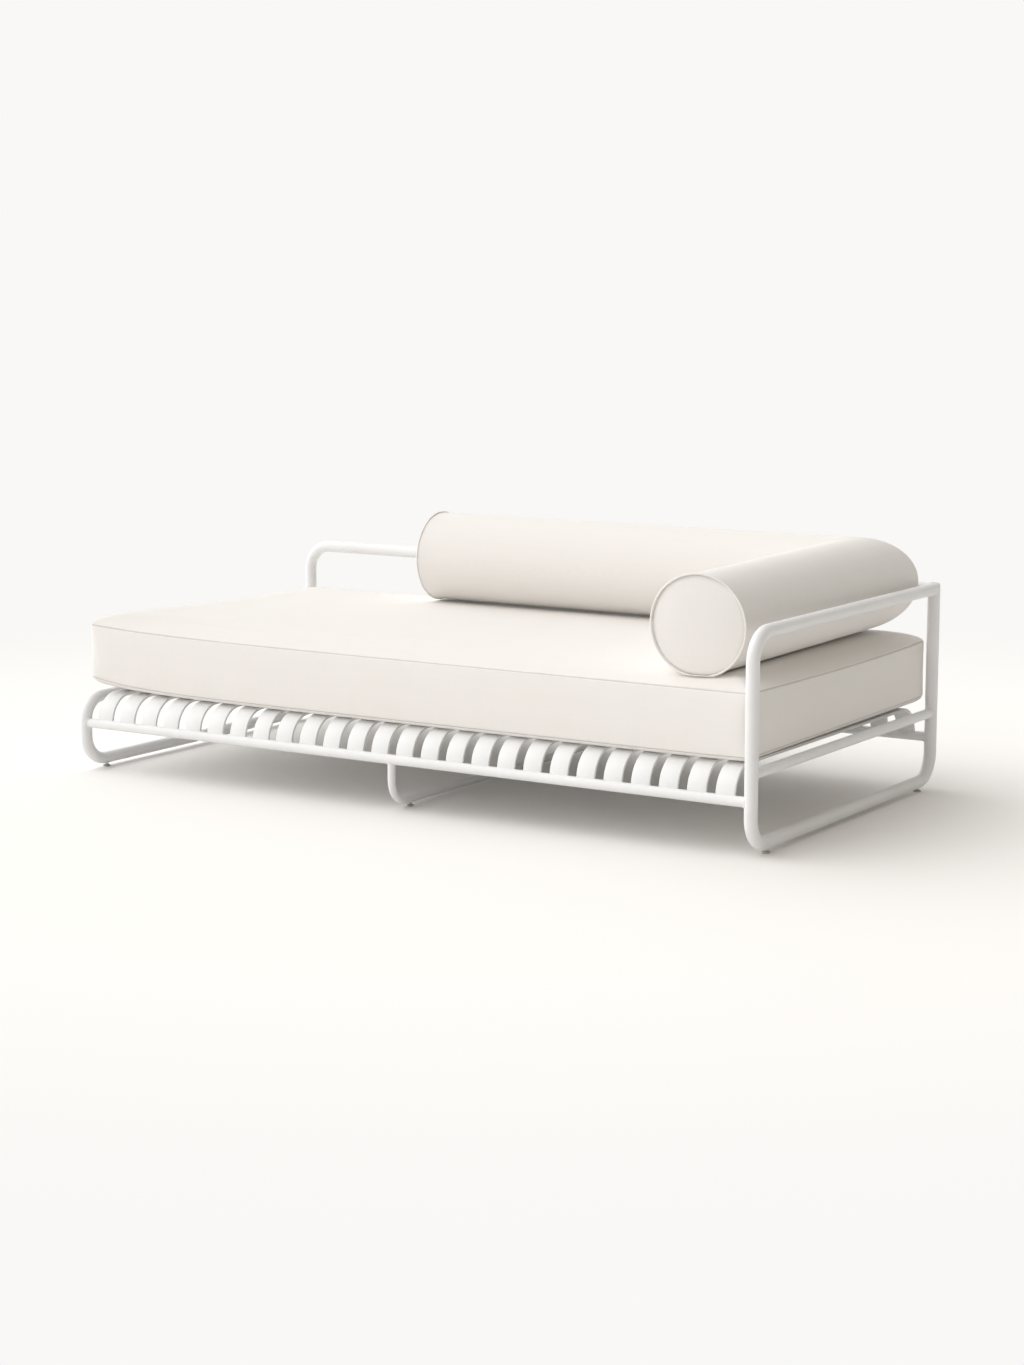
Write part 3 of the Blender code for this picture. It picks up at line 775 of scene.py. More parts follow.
def build_feet(nylon, steel):
    """Turned nylon pads and their threaded stems; the rivet nuts keep their own mesh."""
    low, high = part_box(FEET[0])
    nut_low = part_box(NUTS[0])[0]
    radius = (high.x - low.x) / 2
    pad_top = nut_low.z - 0.0018
    edge = 0.0012
    pad = [(0.0015, 0.0004), (radius - 3 * edge, 0.0), (radius - edge, 0.0)]
    for step in range(1, 4):
        a = radians(30 * step)
        pad.append((radius - edge + edge * sin(a), edge - edge * cos(a)))
    for step in range(4):
        a = radians(30 * step)
        pad.append((radius - edge + edge * cos(a), pad_top - edge + edge * sin(a)))
    pad.append((0.0045, pad_top))
    stem_radius = 0.0039
    thread = 0.00035
    pitch = 0.0010
    turns = int((high.z - pad_top) / pitch)
    stem = []
    for turn in range(turns):
        z = pad_top + turn * pitch
        stem.append((stem_radius - thread, z))
        stem.append((stem_radius, z + pitch / 2))
    spots = foot_spots()
    pieces = (
        ("foot_pads", pad, nylon, "foot_nylon", FEET),
        ("foot_stems", stem, steel, "plated_steel", []),
    )
    for name, profile, material, slot, nodes in pieces:
        points, faces = turned(profile, 28)
        mesh = make_mesh(name + "_piece", points, faces)
        mesh.set_sharp_from_angle(angle=radians(40))
        piece = make_object(name + "_piece", mesh, material)
        start = bpy.data.meshes.new(name)
        start.from_pydata(spots, [], [])
        thing = grown(name, start, spots_tree(), {"Piece": piece, "Material": material})
        bpy.data.objects.remove(piece)
        hand_over(thing, "frame", slot, *nodes)
    for name in NUTS:
        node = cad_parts[name]
        node.data.materials.clear()
        node.data.materials.append(steel)


# ---------------------------------------------------------------- mattress

FOLD = 0.0025
MATTRESS_X = (MATTRESS_LOW.x + FOLD, MATTRESS_HIGH.x - FOLD)
MATTRESS_Y = (MATTRESS_LOW.y + FOLD, MATTRESS_HIGH.y - FOLD)
MATTRESS_FLAT = MATTRESS_LOW.z
LOWER_SEAM = MATTRESS_LOW.z + 0.011
CORNER = 0.013
POST_CORNER = 0.062
# (corner x, corner y, radius)
CORNERS = (
    (MATTRESS_X[0], MATTRESS_Y[0], CORNER),
    (MATTRESS_X[1], MATTRESS_Y[0], CORNER),
    (MATTRESS_X[1], MATTRESS_Y[1], CORNER),
    (MATTRESS_X[0], MATTRESS_Y[1], POST_CORNER),
)
EDGE_LINES = (0.0, 0.0022, 0.005, 0.010, 0.018, 0.030, 0.045, 0.062, 0.080)
ZIP_Z = (ZIP_LOW.z + ZIP_HIGH.z) / 2
ZIP_LIP = 0.0068

# Room left between two surfaces that meet.
CONTACT_GAP = 0.0012

# Upper seam: rise at the left front, its fall per metre to the rear, and how far along it reaches.
LEFT_RISE = 0.016
LEFT_FALL = 0.024
LEFT_REACH = 0.20
REAR_RISE = 0.008
REAR_REACH = 0.15
SLACK = 0.003
SLACK_REACH = (0.30, 0.33)
SHIFT_REACH = 0.25

# Lower seam: rise along the right side (at the front, more at the rear) and at the left corners,
# by their place in CORNERS.
SIDE_RISE = (0.003, 0.011)
SIDE_REACH = 0.08
LOW_CORNER_RISE = {0: 0.029, 3: 0.012}
LOW_CORNER_REACH = 0.14
LOWER_SEAM_WIDTH = 0.024

# The crown: extra fullness at the front left corner, and how steeply it rises from the seam.
FULLER_CORNER = 0.35
FULLER_REACH = 0.25
CROWN_REACH = 0.026

# The recess that a zip lies in: half width and length of the fade past each of its ends.
MATTRESS_RECESS = 0.016
BOLSTER_RECESS = 0.014
RECESS_FADE = 0.03

# How strongly painted shade darkens the cloth along a seam.
MATTRESS_SEAM_SHADE = 0.60
BOLSTER_SEAM_SHADE = 0.25


def lattice_lines(low, high, cell):
    """Positions from low to high: fine near both ends, even in between."""
    inner = high - low - 2 * EDGE_LINES[-1]
    count = max(int(round(inner / cell)), 1)
    lines = [low + d for d in EDGE_LINES]
    lines += [low + EDGE_LINES[-1] + inner * k / count for k in range(1, count)]
    lines += [high - d for d in reversed(EDGE_LINES)]
    return lines


def rounded(x, y):
    """Move a point of the plain rectangle into the one with rounded corners."""
    for corner_x, corner_y, radius in CORNERS:
        u = 1 - abs(x - corner_x) / radius
        v = 1 - abs(y - corner_y) / radius
        if u > 0 and v > 0:
            to_x = 1 if corner_x > 0 else -1
            to_y = 1 if corner_y > 0 else -1
            centre_x = corner_x - to_x * radius
            centre_y = corner_y - to_y * radius
            x = centre_x + to_x * radius * u * sqrt(1 - v * v / 2)
            y = centre_y + to_y * radius * v * sqrt(1 - u * u / 2)
            break
    return x, y


def inset(x, y):
    """Distance from a point inside the rounded outline to the outline."""
    for corner_x, corner_y, radius in CORNERS:
        to_x = 1 if corner_x > 0 else -1
        to_y = 1 if corner_y > 0 else -1
        along = to_x * (x - corner_x) + radius
        across = to_y * (y - corner_y) + radius
        if along > 0 and across > 0:
            return max(radius - hypot(along, across), 0.0)
    return max(min(x - MATTRESS_X[0], MATTRESS_X[1] - x, y - MATTRESS_Y[0], MATTRESS_Y[1] - y), 0.0)


def near_corner(x, y, number, reach):
    """1 at a corner of the mattress, fading with distance from it."""
    corner_x, corner_y, _ = CORNERS[number]
    return exp(-hypot(x - corner_x, y - corner_y) / reach)


def upper_shift(x, y):
    """Rise of the upper seam: high at the left front, falling to the rear; slack on the right."""
    left = (LEFT_RISE - LEFT_FALL * (y - MATTRESS_Y[0])) * exp(-(x - MATTRESS_X[0]) / LEFT_REACH)
    slack = SLACK * exp(-(((x - MATTRESS_X[1]) / SLACK_REACH[0]) ** 2) - (y / SLACK_REACH[1]) ** 2)
    return left + REAR_RISE * near_corner(x, y, 2, REAR_REACH) - slack


def lower_shift(x, y):
    """Rise of the lower seam at the two left corners and along the right side."""
    back_share = (y - MATTRESS_Y[0]) / (MATTRESS_Y[1] - MATTRESS_Y[0])
    rise = (SIDE_RISE[0] + SIDE_RISE[1] * back_share) * exp(-(MATTRESS_X[1] - x) / SIDE_REACH)
    for number, most in LOW_CORNER_RISE.items():
        rise += most * near_corner(x, y, number, LOW_CORNER_REACH)
    return rise


def crown_top(sizes, x, y, extra=0.0):
    """Height of the mattress top before the bolster presses it."""
    depth = inset(x, y)
    fullness = 1 + FULLER_CORNER * near_corner(x, y, 0, FULLER_REACH)
    rise = fullness * (sizes.crown + extra) * (1 - exp(-depth / CROWN_REACH))
    return sizes.seam_height + upper_shift(x, y) * exp(-depth / SHIFT_REACH) + rise


def under_bolster(sizes, x, y):
    """Height of the bolster's underside above a point, or None outside the bolster."""
    radius = sizes.bolster_radius + 0.6 * sizes.swell
    best = None
    for start, end in bolster_legs(sizes):
        run = end - start
        flat = Vector((run.x, run.y, 0))
        away = Vector((x - start.x, y - start.y, 0))
        along = min(max(away.dot(flat) / flat.length_squared, 0.0), 1.0)
        point = start + along * run
        distance = hypot(x - point.x, y - point.y)
        if distance < radius:
            low = point.z - sqrt(radius**2 - distance**2)
            best = low if best is None else min(best, low)
    return best


def rest_height(sizes, x, y):
    """Where the bolster's underside settles on the mattress."""
    return crown_top(sizes, x, y, sizes.swell) - sizes.sink


def lattice_mattress(sizes):
    """Closed boxed cover as points, faces, uvs and the kind of each point."""
    xs = lattice_lines(*MATTRESS_X, sizes.cell)
    ys = lattice_lines(*MATTRESS_Y, sizes.cell)
    last_x = len(xs) - 1
    last_y = len(ys) - 1
    points = []
    kinds = []

    def put(x, y, z, kind):
        points.append(Vector((x, y, z)))
        kinds.append(kind)
        return len(points) - 1

    panels = {}
    for top in (False, True):
        for i, line_x in enumerate(xs):
            for j, line_y in enumerate(ys):
                x, y = rounded(line_x, line_y)
                border = i in (0, last_x) or j in (0, last_y)
                if top:
                    z = crown_top(sizes, x, y)
                else:
                    near = max(1 - inset(x, y) / LOWER_SEAM_WIDTH, 0.0)
                    z = MATTRESS_FLAT + (LOWER_SEAM - MATTRESS_FLAT) * near**2
                    z += lower_shift(x, y) * exp(-inset(x, y) / SIDE_REACH)
                kind = "seam" if border else ("top" if top else "under")
                panels[top, i, j] = put(x, y, z, kind)

    border = [(i, 0) for i in range(last_x)]
    border += [(last_x, j) for j in range(last_y)]
    border += [(i, last_y) for i in range(last_x, 0, -1)]
    border += [(0, j) for j in range(last_y, 0, -1)]
    zip_share = (ZIP_Z - LOWER_SEAM) / (sizes.seam_height - LOWER_SEAM)
    height = sizes.seam_height - LOWER_SEAM
    near_seam = [d / height for d in EDGE_LINES[1:6]]
    near_zip = [d / height for d in (0.026, 0.013, ZIP_LIP, 0.0042)]
    shares = near_seam + [zip_share - d for d in near_zip] + [zip_share]
    shares += [zip_share + d for d in reversed(near_zip)] + [1 - d for d in reversed(near_seam)]

    columns = []
    run = 0.0
    travel = [0.0]
    for number, (i, j) in enumerate(border):
        low = panels[False, i, j]
        high = panels[True, i, j]
        column = [low]
        for part in shares:
            point = points[low].lerp(points[high], part)
            column.append(put(point.x, point.y, point.z, "band"))
        column.append(high)
        columns.append(column)
        following = border[(number + 1) % len(border)]
        step = points[panels[True, following[0], following[1]]] - points[high]
        run += hypot(step.x, step.y)
        travel.append(run)

    faces = []
    uvs = []
    for i in range(last_x):
        for j in range(last_y):
            corners = ((i, j), (i + 1, j), (i + 1, j + 1), (i, j + 1))
            for top, order in ((True, 1), (False, -1)):
                face = tuple(panels[top, a, b] for a, b in corners)[::order]
                faces.append(face)
                uvs.append([(points[p].x, points[p].y) for p in face])
    for number, column in enumerate(columns):
        following = columns[(number + 1) % len(columns)]
        for level in range(len(column) - 1):
            faces.append((column[level], following[level], following[level + 1], column[level + 1]))
            left, right = travel[number], travel[number + 1]
            low, high = points[column[level]].z, points[column[level + 1]].z
            uvs.append([(left, low), (right, low), (right, high), (left, high)])
    return points, faces, uvs, kinds


def swell_cover(thing, pinned, sizes, cap):
    """Cloth under pressure with its seams held; no point moves further than the cap."""
    scene = bpy.context.scene
    group = thing.vertex_groups.new(name="held")
    group.add(pinned, 1.0, "REPLACE")
    modifier = thing.modifiers.new("swell", "CLOTH")
    settings = modifier.settings
    settings.quality = 5
    settings.mass = 0.3
    settings.tension_stiffness = 12
    settings.compression_stiffness = 12
    settings.shear_stiffness = 4
    settings.bending_stiffness = 0.4
    settings.use_pressure = True
    settings.uniform_pressure_force = sizes.pressure
    settings.vertex_group_mass = "held"
    settings.pin_stiffness = 1.0
    settings.effector_weights.gravity = 0.0
    modifier.collision_settings.use_collision = False
    modifier.point_cache.frame_start = 1
    modifier.point_cache.frame_end = sizes.frames
    for number in range(1, sizes.frames + 1):
        scene.frame_set(number)
    graph = bpy.context.evaluated_depsgraph_get()
    moved = thing.evaluated_get(graph).to_mesh()
    for vertex, after in zip(thing.data.vertices, moved.vertices):
        push = after.co - vertex.co
        if push.length > cap:
            push *= cap / push.length
        vertex.co += push
    thing.modifiers.remove(modifier)
    thing.vertex_groups.remove(group)
    scene.frame_set(1)


def subdivide(thing, levels=1):
    modifier = thing.modifiers.new("subdivide", "SUBSURF")
    modifier.levels = levels
    modifier.render_levels = levels
    bpy.context.view_layer.update()
    graph = bpy.context.evaluated_depsgraph_get()
    mesh = bpy.data.meshes.new_from_object(thing.evaluated_get(graph), depsgraph=graph)
    thing.modifiers.remove(modifier)
    old = thing.data
    mesh.name = thing.name
    thing.data = mesh
    bpy.data.meshes.remove(old)
    mesh.shade_smooth()


def mark_painted_seam_shade(thing, kinds, strength):
    """Seam lines as an attribute, for the shade that the cover's material paints along them."""
    marks = thing.data.attributes.new("seam", "FLOAT", "POINT")
    for mark, kind in zip(marks.data, kinds):
        mark.value = strength if kind == "seam" else 0.0


def gather(point, seed):
    """Soft unevenness of sewn cloth, in the range -1 to 1."""
    return noise.noise(seed + point * 16.0) + 0.5 * noise.noise(seed + point * 42.0)


def finish_mattress(sizes, thing, kinds):
    """Seam grooves, small puckers, the zip's recess, the bolster's dent and room for the post."""
    post = Vector((-HALF_LENGTH, HALF_DEPTH, 0))
    seed = Vector((3.1, 7.7, 1.3))
    for vertex, kind in zip(thing.data.vertices, kinds):
        place = vertex.co
        if kind == "seam":
            middle = Vector((
                min(max(place.x, MATTRESS_X[0] + 0.07), MATTRESS_X[1] - 0.07),
                min(max(place.y, MATTRESS_Y[0] + 0.07), MATTRESS_Y[1] - 0.07),
                0.5 * (LOWER_SEAM + sizes.seam_height),
            ))
            inward = middle - place
            inward.z *= 0.35
            place += sizes.seam_depth * inward.normalized()
        elif kind == "top":
            depth = inset(place.x, place.y)
            amount = 0.0007 * exp(-depth / 0.05) + 0.0005
            place.z += amount * gather(place, seed)
        elif kind == "band":
            share_up = (place.z - LOWER_SEAM) / (sizes.seam_height - LOWER_SEAM)
            amount = 0.0004 + 0.0008 * (2 * share_up - 1) ** 2
            place.y += amount * gather(place, seed) * (1 if place.y > 0 else -1)
            press_zip(place)
        if kind in ("top", "seam") and place.z > ZIP_Z:
            low = under_bolster(sizes, place.x, place.y)
            if low is not None:
                low = smooth_max(low, rest_height(sizes, place.x, place.y), 0.004)
                place.z = smooth_min(place.z, low - CONTACT_GAP, 0.003)
        away = Vector((place.x - post.x, place.y - post.y, 0))
        room = MAIN_RADIUS + CONTACT_GAP
        if away.length < room:
            place += (room - away.length) * away.normalized()


def press_zip(place):
    """Flat recess for the zip in the rear face, with a lip above and below it."""
    reach = abs(place.z - ZIP_Z)
    end = abs(place.x) - ZIP_HIGH.x
    if place.y < MATTRESS_Y[1] - 0.02 or reach > MATTRESS_RECESS or end > RECESS_FADE:
        return
    face_y = ZIP_HIGH.y
    if reach < 0.002:
        wanted = face_y - 0.0012
    elif reach < ZIP_LIP - 0.001:
        wanted = face_y - 0.0006
    else:
        wanted = face_y + 0.0012
    strength = 1 - min(max(end / RECESS_FADE, 0.0), 1.0)
    place.y += strength * (wanted - place.y)


def build_mattress(sizes, cloth):
    points, faces, uvs, kinds = lattice_mattress(sizes)
    thing = make_object("mattress", make_mesh("mattress", points, faces, uvs), cloth)
    pinned = [i for i, kind in enumerate(kinds) if kind in ("seam", "under")]
    swell_cover(thing, pinned, sizes, sizes.swell)
    finish_mattress(sizes, thing, kinds)
    mark_painted_seam_shade(thing, kinds, MATTRESS_SEAM_SHADE)
    subdivide(thing)
    return hand_over(thing, "mattress", "cover_fabric", "mattress_cover", "mattress_foam")


# ---------------------------------------------------------------- bolster

BOLSTER_SIDES = 64
BOLSTER_X = (BOLSTER_LOW.x + 0.017, BOLSTER_HIGH.x - 0.125)
BOLSTER_Y = (BOLSTER_LOW.y + 0.010, BOLSTER_HIGH.y - 0.125)
FRONT_TURN_IN = 0.026
FRONT_SLANT = 0.080
BOLSTER_CELL = 0.0135
ZIP_ANGLE = radians(-52.5)
ZIP_RADIUS = 0.1239


def bolster_legs(sizes):
    """Centre lines of the back leg and the side leg, as (start, end)."""
    left = Vector((BOLSTER_X[0], BOLSTER_Y[1], sizes.bolster_axis))
    corner = Vector((BOLSTER_X[1], BOLSTER_Y[1], sizes.bolster_axis))
    front = Vector((BOLSTER_X[1] - FRONT_TURN_IN, BOLSTER_Y[0], sizes.bolster_front))
    return (left, corner), (corner, front)


def slant(point, front, side):
    """The front cap is sewn a little askew: its right edge lies further back."""
    return point - side * FRONT_SLANT * (point.x - front.x)


def cap_lattice(count):
    """Square grid of (i, j) and its places on the unit disc, with even steps round its rim."""
    half = count // 8
    steps = [sqrt(2) * sin(pi / 4 * k / half) for k in range(-half, half + 1)]
    grid = {}
    for i, u in enumerate(steps):
        for j, v in enumerate(steps):
            grid[i, j] = (u * sqrt(max(1 - v * v / 2, 0.0)), v * sqrt(max(1 - u * u / 2, 0.0)))
    return grid, 2 * half


def lattice_bolster(sizes):
    """Closed L of two round legs with a mitre and two domed caps."""
    (left, corner), (_, front) = bolster_legs(sizes)
    radius = sizes.bolster_radius
    back = (corner - left).normalized()
    side = (front - corner).normalized()
    mitre = (back + side).normalized()
    spokes = [Vector((0, cos(a), sin(a))) for a in circle(BOLSTER_SIDES)]
    seam = [radius * (s - back * s.dot(mitre) / back.dot(mitre)) for s in spokes]
    turned_spokes = [(m - side * m.dot(side)) / radius for m in seam]
    starts = [left + radius * s for s in spokes]
    middles = [corner + m for m in seam]
    ends = [slant(front + radius * s, front, side) for s in turned_spokes]
    rows_back = ceil((corner - left).length / BOLSTER_CELL)
    rows_side = ceil((front - corner).length / BOLSTER_CELL)
    points = []
    kinds = []
    rings = []
    edge = (0.10, 0.35)
    shares_back = [0.0] + [e / rows_back for e in edge] + [k / rows_back for k in range(1, rows_back)]
    shares_back += [1 - e / rows_back for e in reversed(edge)]
    shares_side = [0.0] + [e / rows_side for e in edge] + [k / rows_side for k in range(1, rows_side)]
    shares_side += [1 - e / rows_side for e in reversed(edge)] + [1.0]
    for first, last, shares in ((starts, middles, shares_back), (middles, ends, shares_side)):
        for part in shares:
            held = part in (0.0, 1.0)
            rings.append(list(range(len(points), len(points) + BOLSTER_SIDES)))
            for a, b in zip(first, last):
                points.append(a.lerp(b, part))
                kinds.append("seam" if held else "skin")
    faces = []
    uvs = []
    around = 2 * pi * radius / BOLSTER_SIDES
    for level in range(len(rings) - 1):
        low, high = rings[level], rings[level + 1]
        for i in range(BOLSTER_SIDES):
            j = (i + 1) % BOLSTER_SIDES
            faces.append((low[i], low[j], high[j], high[i]))
            around_face = (low[i], low[j], high[j], high[i])
            run = [length_along(points[p], left, corner, back, side) for p in around_face]
            u = (i * around, (i + 1) * around)
            uvs.append([(run[0], u[0]), (run[1], u[1]), (run[2], u[1]), (run[3], u[0])])
    grid, size = cap_lattice(BOLSTER_SIDES)
    caps = (
        (left, spokes, -back, rings[0], True),
        (front, turned_spokes, side, rings[-1], False),
    )
    for centre, ways, out, ring, flipped in caps:
        u_way, v_way = ways[0], ways[BOLSTER_SIDES // 4]
        spots = {}
        for (i, j), (u, v) in grid.items():
            if i in (0, size) or j in (0, size):
                turn = atan2(v, u) / (2 * pi) * BOLSTER_SIDES
                spots[i, j] = ring[round(turn) % BOLSTER_SIDES]
                continue
            rise = sizes.dome * (1 - (u * u + v * v)) ** 0.75
            spots[i, j] = len(points)
            spot = centre + radius * (u * u_way + v * v_way) + rise * out
            points.append(spot if flipped else slant(spot, front, side))
            kinds.append("cap")
        for i in range(size):
            for j in range(size):
                around_cell = ((i, j), (i + 1, j), (i + 1, j + 1), (i, j + 1))
                if flipped:
                    around_cell = around_cell[::-1]
                faces.append(tuple(spots[cell] for cell in around_cell))
                uvs.append([(radius * grid[cell][0], radius * grid[cell][1]) for cell in around_cell])
    return points, faces, uvs, kinds


def length_along(point, left, corner, back, side):
    """Distance along the bolster, for the run of the cloth."""
    first = (point - left).dot(back)
    second = (point - corner).dot(side)
    whole = (corner - left).length
    return first if first < whole and second <= 0 else whole + max(second, 0.0)


def finish_bolster(sizes, thing, kinds):
    """Seam grooves, soft unevenness, the zip's recess and the flattened underside."""
    (left, corner), (_, front) = bolster_legs(sizes)
    seed = Vector((9.2, 2.4, 5.5))
    for vertex, kind in zip(thing.data.vertices, kinds):
        place = vertex.co
        on_side = (place - corner).dot(front - corner) > 0
        start, end = (corner, front) if on_side else (left, corner)
        along = (end - start).normalized()
        away = place - start
        away -= along * away.dot(along)
        if kind == "seam":
            place -= 0.4 * sizes.seam_depth * away.normalized()
        elif kind == "skin":
            place += 0.0006 * gather(place, seed) * away.normalized()
            if not on_side:
                press_bolster_zip(place, start)
        else:
            place.y += 0.0004 * gather(place, seed)
        floor = rest_height(sizes, place.x, place.y)
        place.z = smooth_max(place.z, floor, 0.004)


def press_bolster_zip(place, start):
    """Shallow recess for the zip along the back leg."""
    away = Vector((0, place.y - start.y, place.z - start.z))
    angle = atan2(away.z, away.y) - ZIP_ANGLE
    reach = abs(angle) * away.length
    end = max(BOLSTER_ZIP_LOW.x - place.x, place.x - BOLSTER_ZIP_HIGH.x)
    if reach > BOLSTER_RECESS or end > RECESS_FADE:
        return
    wanted = ZIP_RADIUS - (0.0010 if reach < 0.006 else -0.0008)
    strength = 1 - min(max(end / RECESS_FADE, 0.0), 1.0)
    place += strength * (wanted - away.length) * away.normalized()


def build_bolster(sizes, cloth):
    points, faces, uvs, kinds = lattice_bolster(sizes)
    thing = make_object("bolster", make_mesh("bolster", points, faces, uvs), cloth)
    pinned = [i for i, kind in enumerate(kinds) if kind == "seam"]
    swell_cover(thing, pinned, sizes, 0.8 * sizes.swell)
    finish_bolster(sizes, thing, kinds)
    mark_painted_seam_shade(thing, kinds, BOLSTER_SEAM_SHADE)
    subdivide(thing)
    return hand_over(thing, "bolster", "cover_fabric", "bolster_cover", "bolster_filling")


def build_piping(sizes, cloth):
    """Covered cord round each end cap; its two ends cross at the bottom."""
    (left, corner), (_, front) = bolster_legs(sizes)
    back = (corner - left).normalized()
    side = (front - corner).normalized()
    radius = sizes.bolster_radius + 0.0005
    cord = sizes.piping
    overlap = radians(5.0)
    steps = 220
    points = []
    faces = []
    uvs = []
    for centre, out in ((left, -back), (front, side)):
        up = (UP - out * UP.dot(out)).normalized()
        across = out.cross(up)
        rings = []
        for step in range(steps + 1):
            part = step / steps
            turn = -pi / 2 - overlap + part * (2 * pi + 2 * overlap)
            near_end = max(1 - min(part, 1 - part) * steps / 6, 0.0)
            lift = (cord * 0.55 if part > 0.5 else -cord * 0.35) * near_end
            ring_out = cos(turn) * across + sin(turn) * up
            drop = 0.6 * cord * near_end if part > 0.5 else 0.0
            middle = centre + (radius + drop) * ring_out + (0.0026 + lift) * out
            if out is side:
                middle = slant(middle, front, side)
            taper = 1.0 - 0.15 * near_end
            ring = []
            for a in circle(12):
                spot = middle + taper * cord * (cos(a) * ring_out - sin(a) * out)
                floor = rest_height(sizes, spot.x, spot.y) + 0.0002
                spot.z = smooth_max(spot.z, floor, 0.002)
                ring.append(spot)
            rings.append(ring)
        first = len(points)
        ring_points, ring_faces = skin(rings)
        points.extend(ring_points)
        faces.extend(tuple(first + p for p in face) for face in ring_faces)
        for face in ring_faces:
            uvs.append([(p // 12 * 2 * pi * radius / steps, p % 12 * 2 * pi * cord / 12) for p in face])
    mesh = make_mesh("bolster_piping", points, faces, uvs)
    thing = make_object("bolster_piping", mesh, cloth, radians(60))
    return hand_over(thing, "bolster", "cover_fabric")


# ---------------------------------------------------------------- zips


def zip_place(origin, outward):
    """Frame of a zip: X along it, Y out of the cloth and Z across it."""
    across = RIGHT.cross(outward)
    turn = Matrix((RIGHT, outward, across)).transposed().to_4x4()
    return Matrix.Translation(origin) @ turn


def tooth_shape():
    """One pair of coil turns, as small bent bars that reach past the middle of the zip."""
    points = []
    faces = []
    for side, shift in ((1, 0.0), (-1, 0.0008)):
        rings = []
        for z, y in ((-0.0006, 0.0002), (0.0004, 0.0010), (0.0016, 0.0010), (0.0024, 0.0002)):
            ring = []
            for dx, dy in ((-0.0003, -0.0003), (0.0003, -0.0003), (0.0003, 0.0003), (-0.0003, 0.0003)):
                ring.append(Vector((shift + dx, y + dy, side * z)))
            rings.append(ring if side > 0 else ring[::-1])
        first = len(points)
        ring_points, ring_faces = skin(rings)
        points.extend(ring_points)
        faces.extend(tuple(first + p for p in face) for face in ring_faces)
    return points, faces


def stitch_shape():
    """One short stitch lying along X, its ends diving into the cloth."""
    rings = []
    profile = (
        (-0.0014, -0.0002, 0.45),
        (-0.0009, 0.0002, 1.0),
        (0.0009, 0.0002, 1.0),
        (0.0014, -0.0002, 0.45),
    )
    for x, y, size in profile:
        ring = [Vector((x, y + 0.00028 * size * cos(a), 0.00028 * size * sin(a))) for a in circle(6)]
        rings.append(ring)
    return skin(rings)


def zip_tape(name, place, length, cloth):
    """Two flat tapes with a narrow gap between them, slightly raised where they are sewn."""
    section = ((0.0009, -0.0004), (0.0009, 0.0000), (0.0062, 0.0002), (0.0062, -0.0004))
    points = []
    faces = []
    uvs = []
    cells = 60
    for side in (1, -1):
        rings = []
        for step in range(cells + 1):
            ring = [Vector((length * step / cells, y, side * z)) for z, y in section]
            rings.append(ring if side < 0 else ring[::-1])
        first = len(points)
        ring_points, ring_faces = skin(rings)
        points.extend(place @ p for p in ring_points)
        for face in ring_faces:
            faces.append(tuple(first + p for p in face))
            uvs.append([(ring_points[p].x, ring_points[p].z) for p in face])
    return make_object(name, make_mesh(name, points, faces, uvs), cloth, radians(40))


def in_a_row(name, shape, place, step, count, material):
    points, faces = shape
    mesh = make_mesh(name, [place @ p for p in points], faces)
    turned_step = place.to_3x3() @ Vector((step, 0, 0))
    values = {"Count": count, "Step": turned_step, "Material": material}
    return grown(name, mesh, row_tree(), values)


def build_zip(prefix, origin, outward, length, body, node, materials):
    """Tape, coil and two rows of stitches of one zip."""
    tape_cloth, teeth, thread = materials
    place = zip_place(origin, outward)
    tape = zip_tape(prefix + "_zip_tape", place, length, tape_cloth)
    hand_over(tape, body, "zip_tape", node)
    pitch = 0.0016
    coil = in_a_row(prefix + "_zip_coil", tooth_shape(), place, pitch, int(length / pitch), teeth)
    hand_over(coil, body, "zip_tape")
    stitch_pitch = 0.0036
    for label, z in (("upper", 0.0085), ("lower", -0.0085)):
        line = place @ Matrix.Translation((0.002, 0.0016, z))
        count = int((length - 0.004) / stitch_pitch)
        row = in_a_row(
            "%s_zip_stitches_%s" % (prefix, label), stitch_shape(), line, stitch_pitch, count, thread
        )
        hand_over(row, body, "zip_tape")


def bevelled_box(low, high, bevel):
    """Box with rounded edges as a bmesh."""
    shape = bmesh.new()
    bmesh.ops.create_cube(shape, size=1.0)
    size = Vector(high) - Vector(low)
    middle = (Vector(high) + Vector(low)) / 2
    bmesh.ops.scale(shape, vec=size, verts=shape.verts)
    bmesh.ops.translate(shape, vec=middle, verts=shape.verts)
    bmesh.ops.bevel(
        shape, geom=list(shape.edges), offset=bevel, segments=3, profile=0.5, affect="EDGES"
    )
    return shape


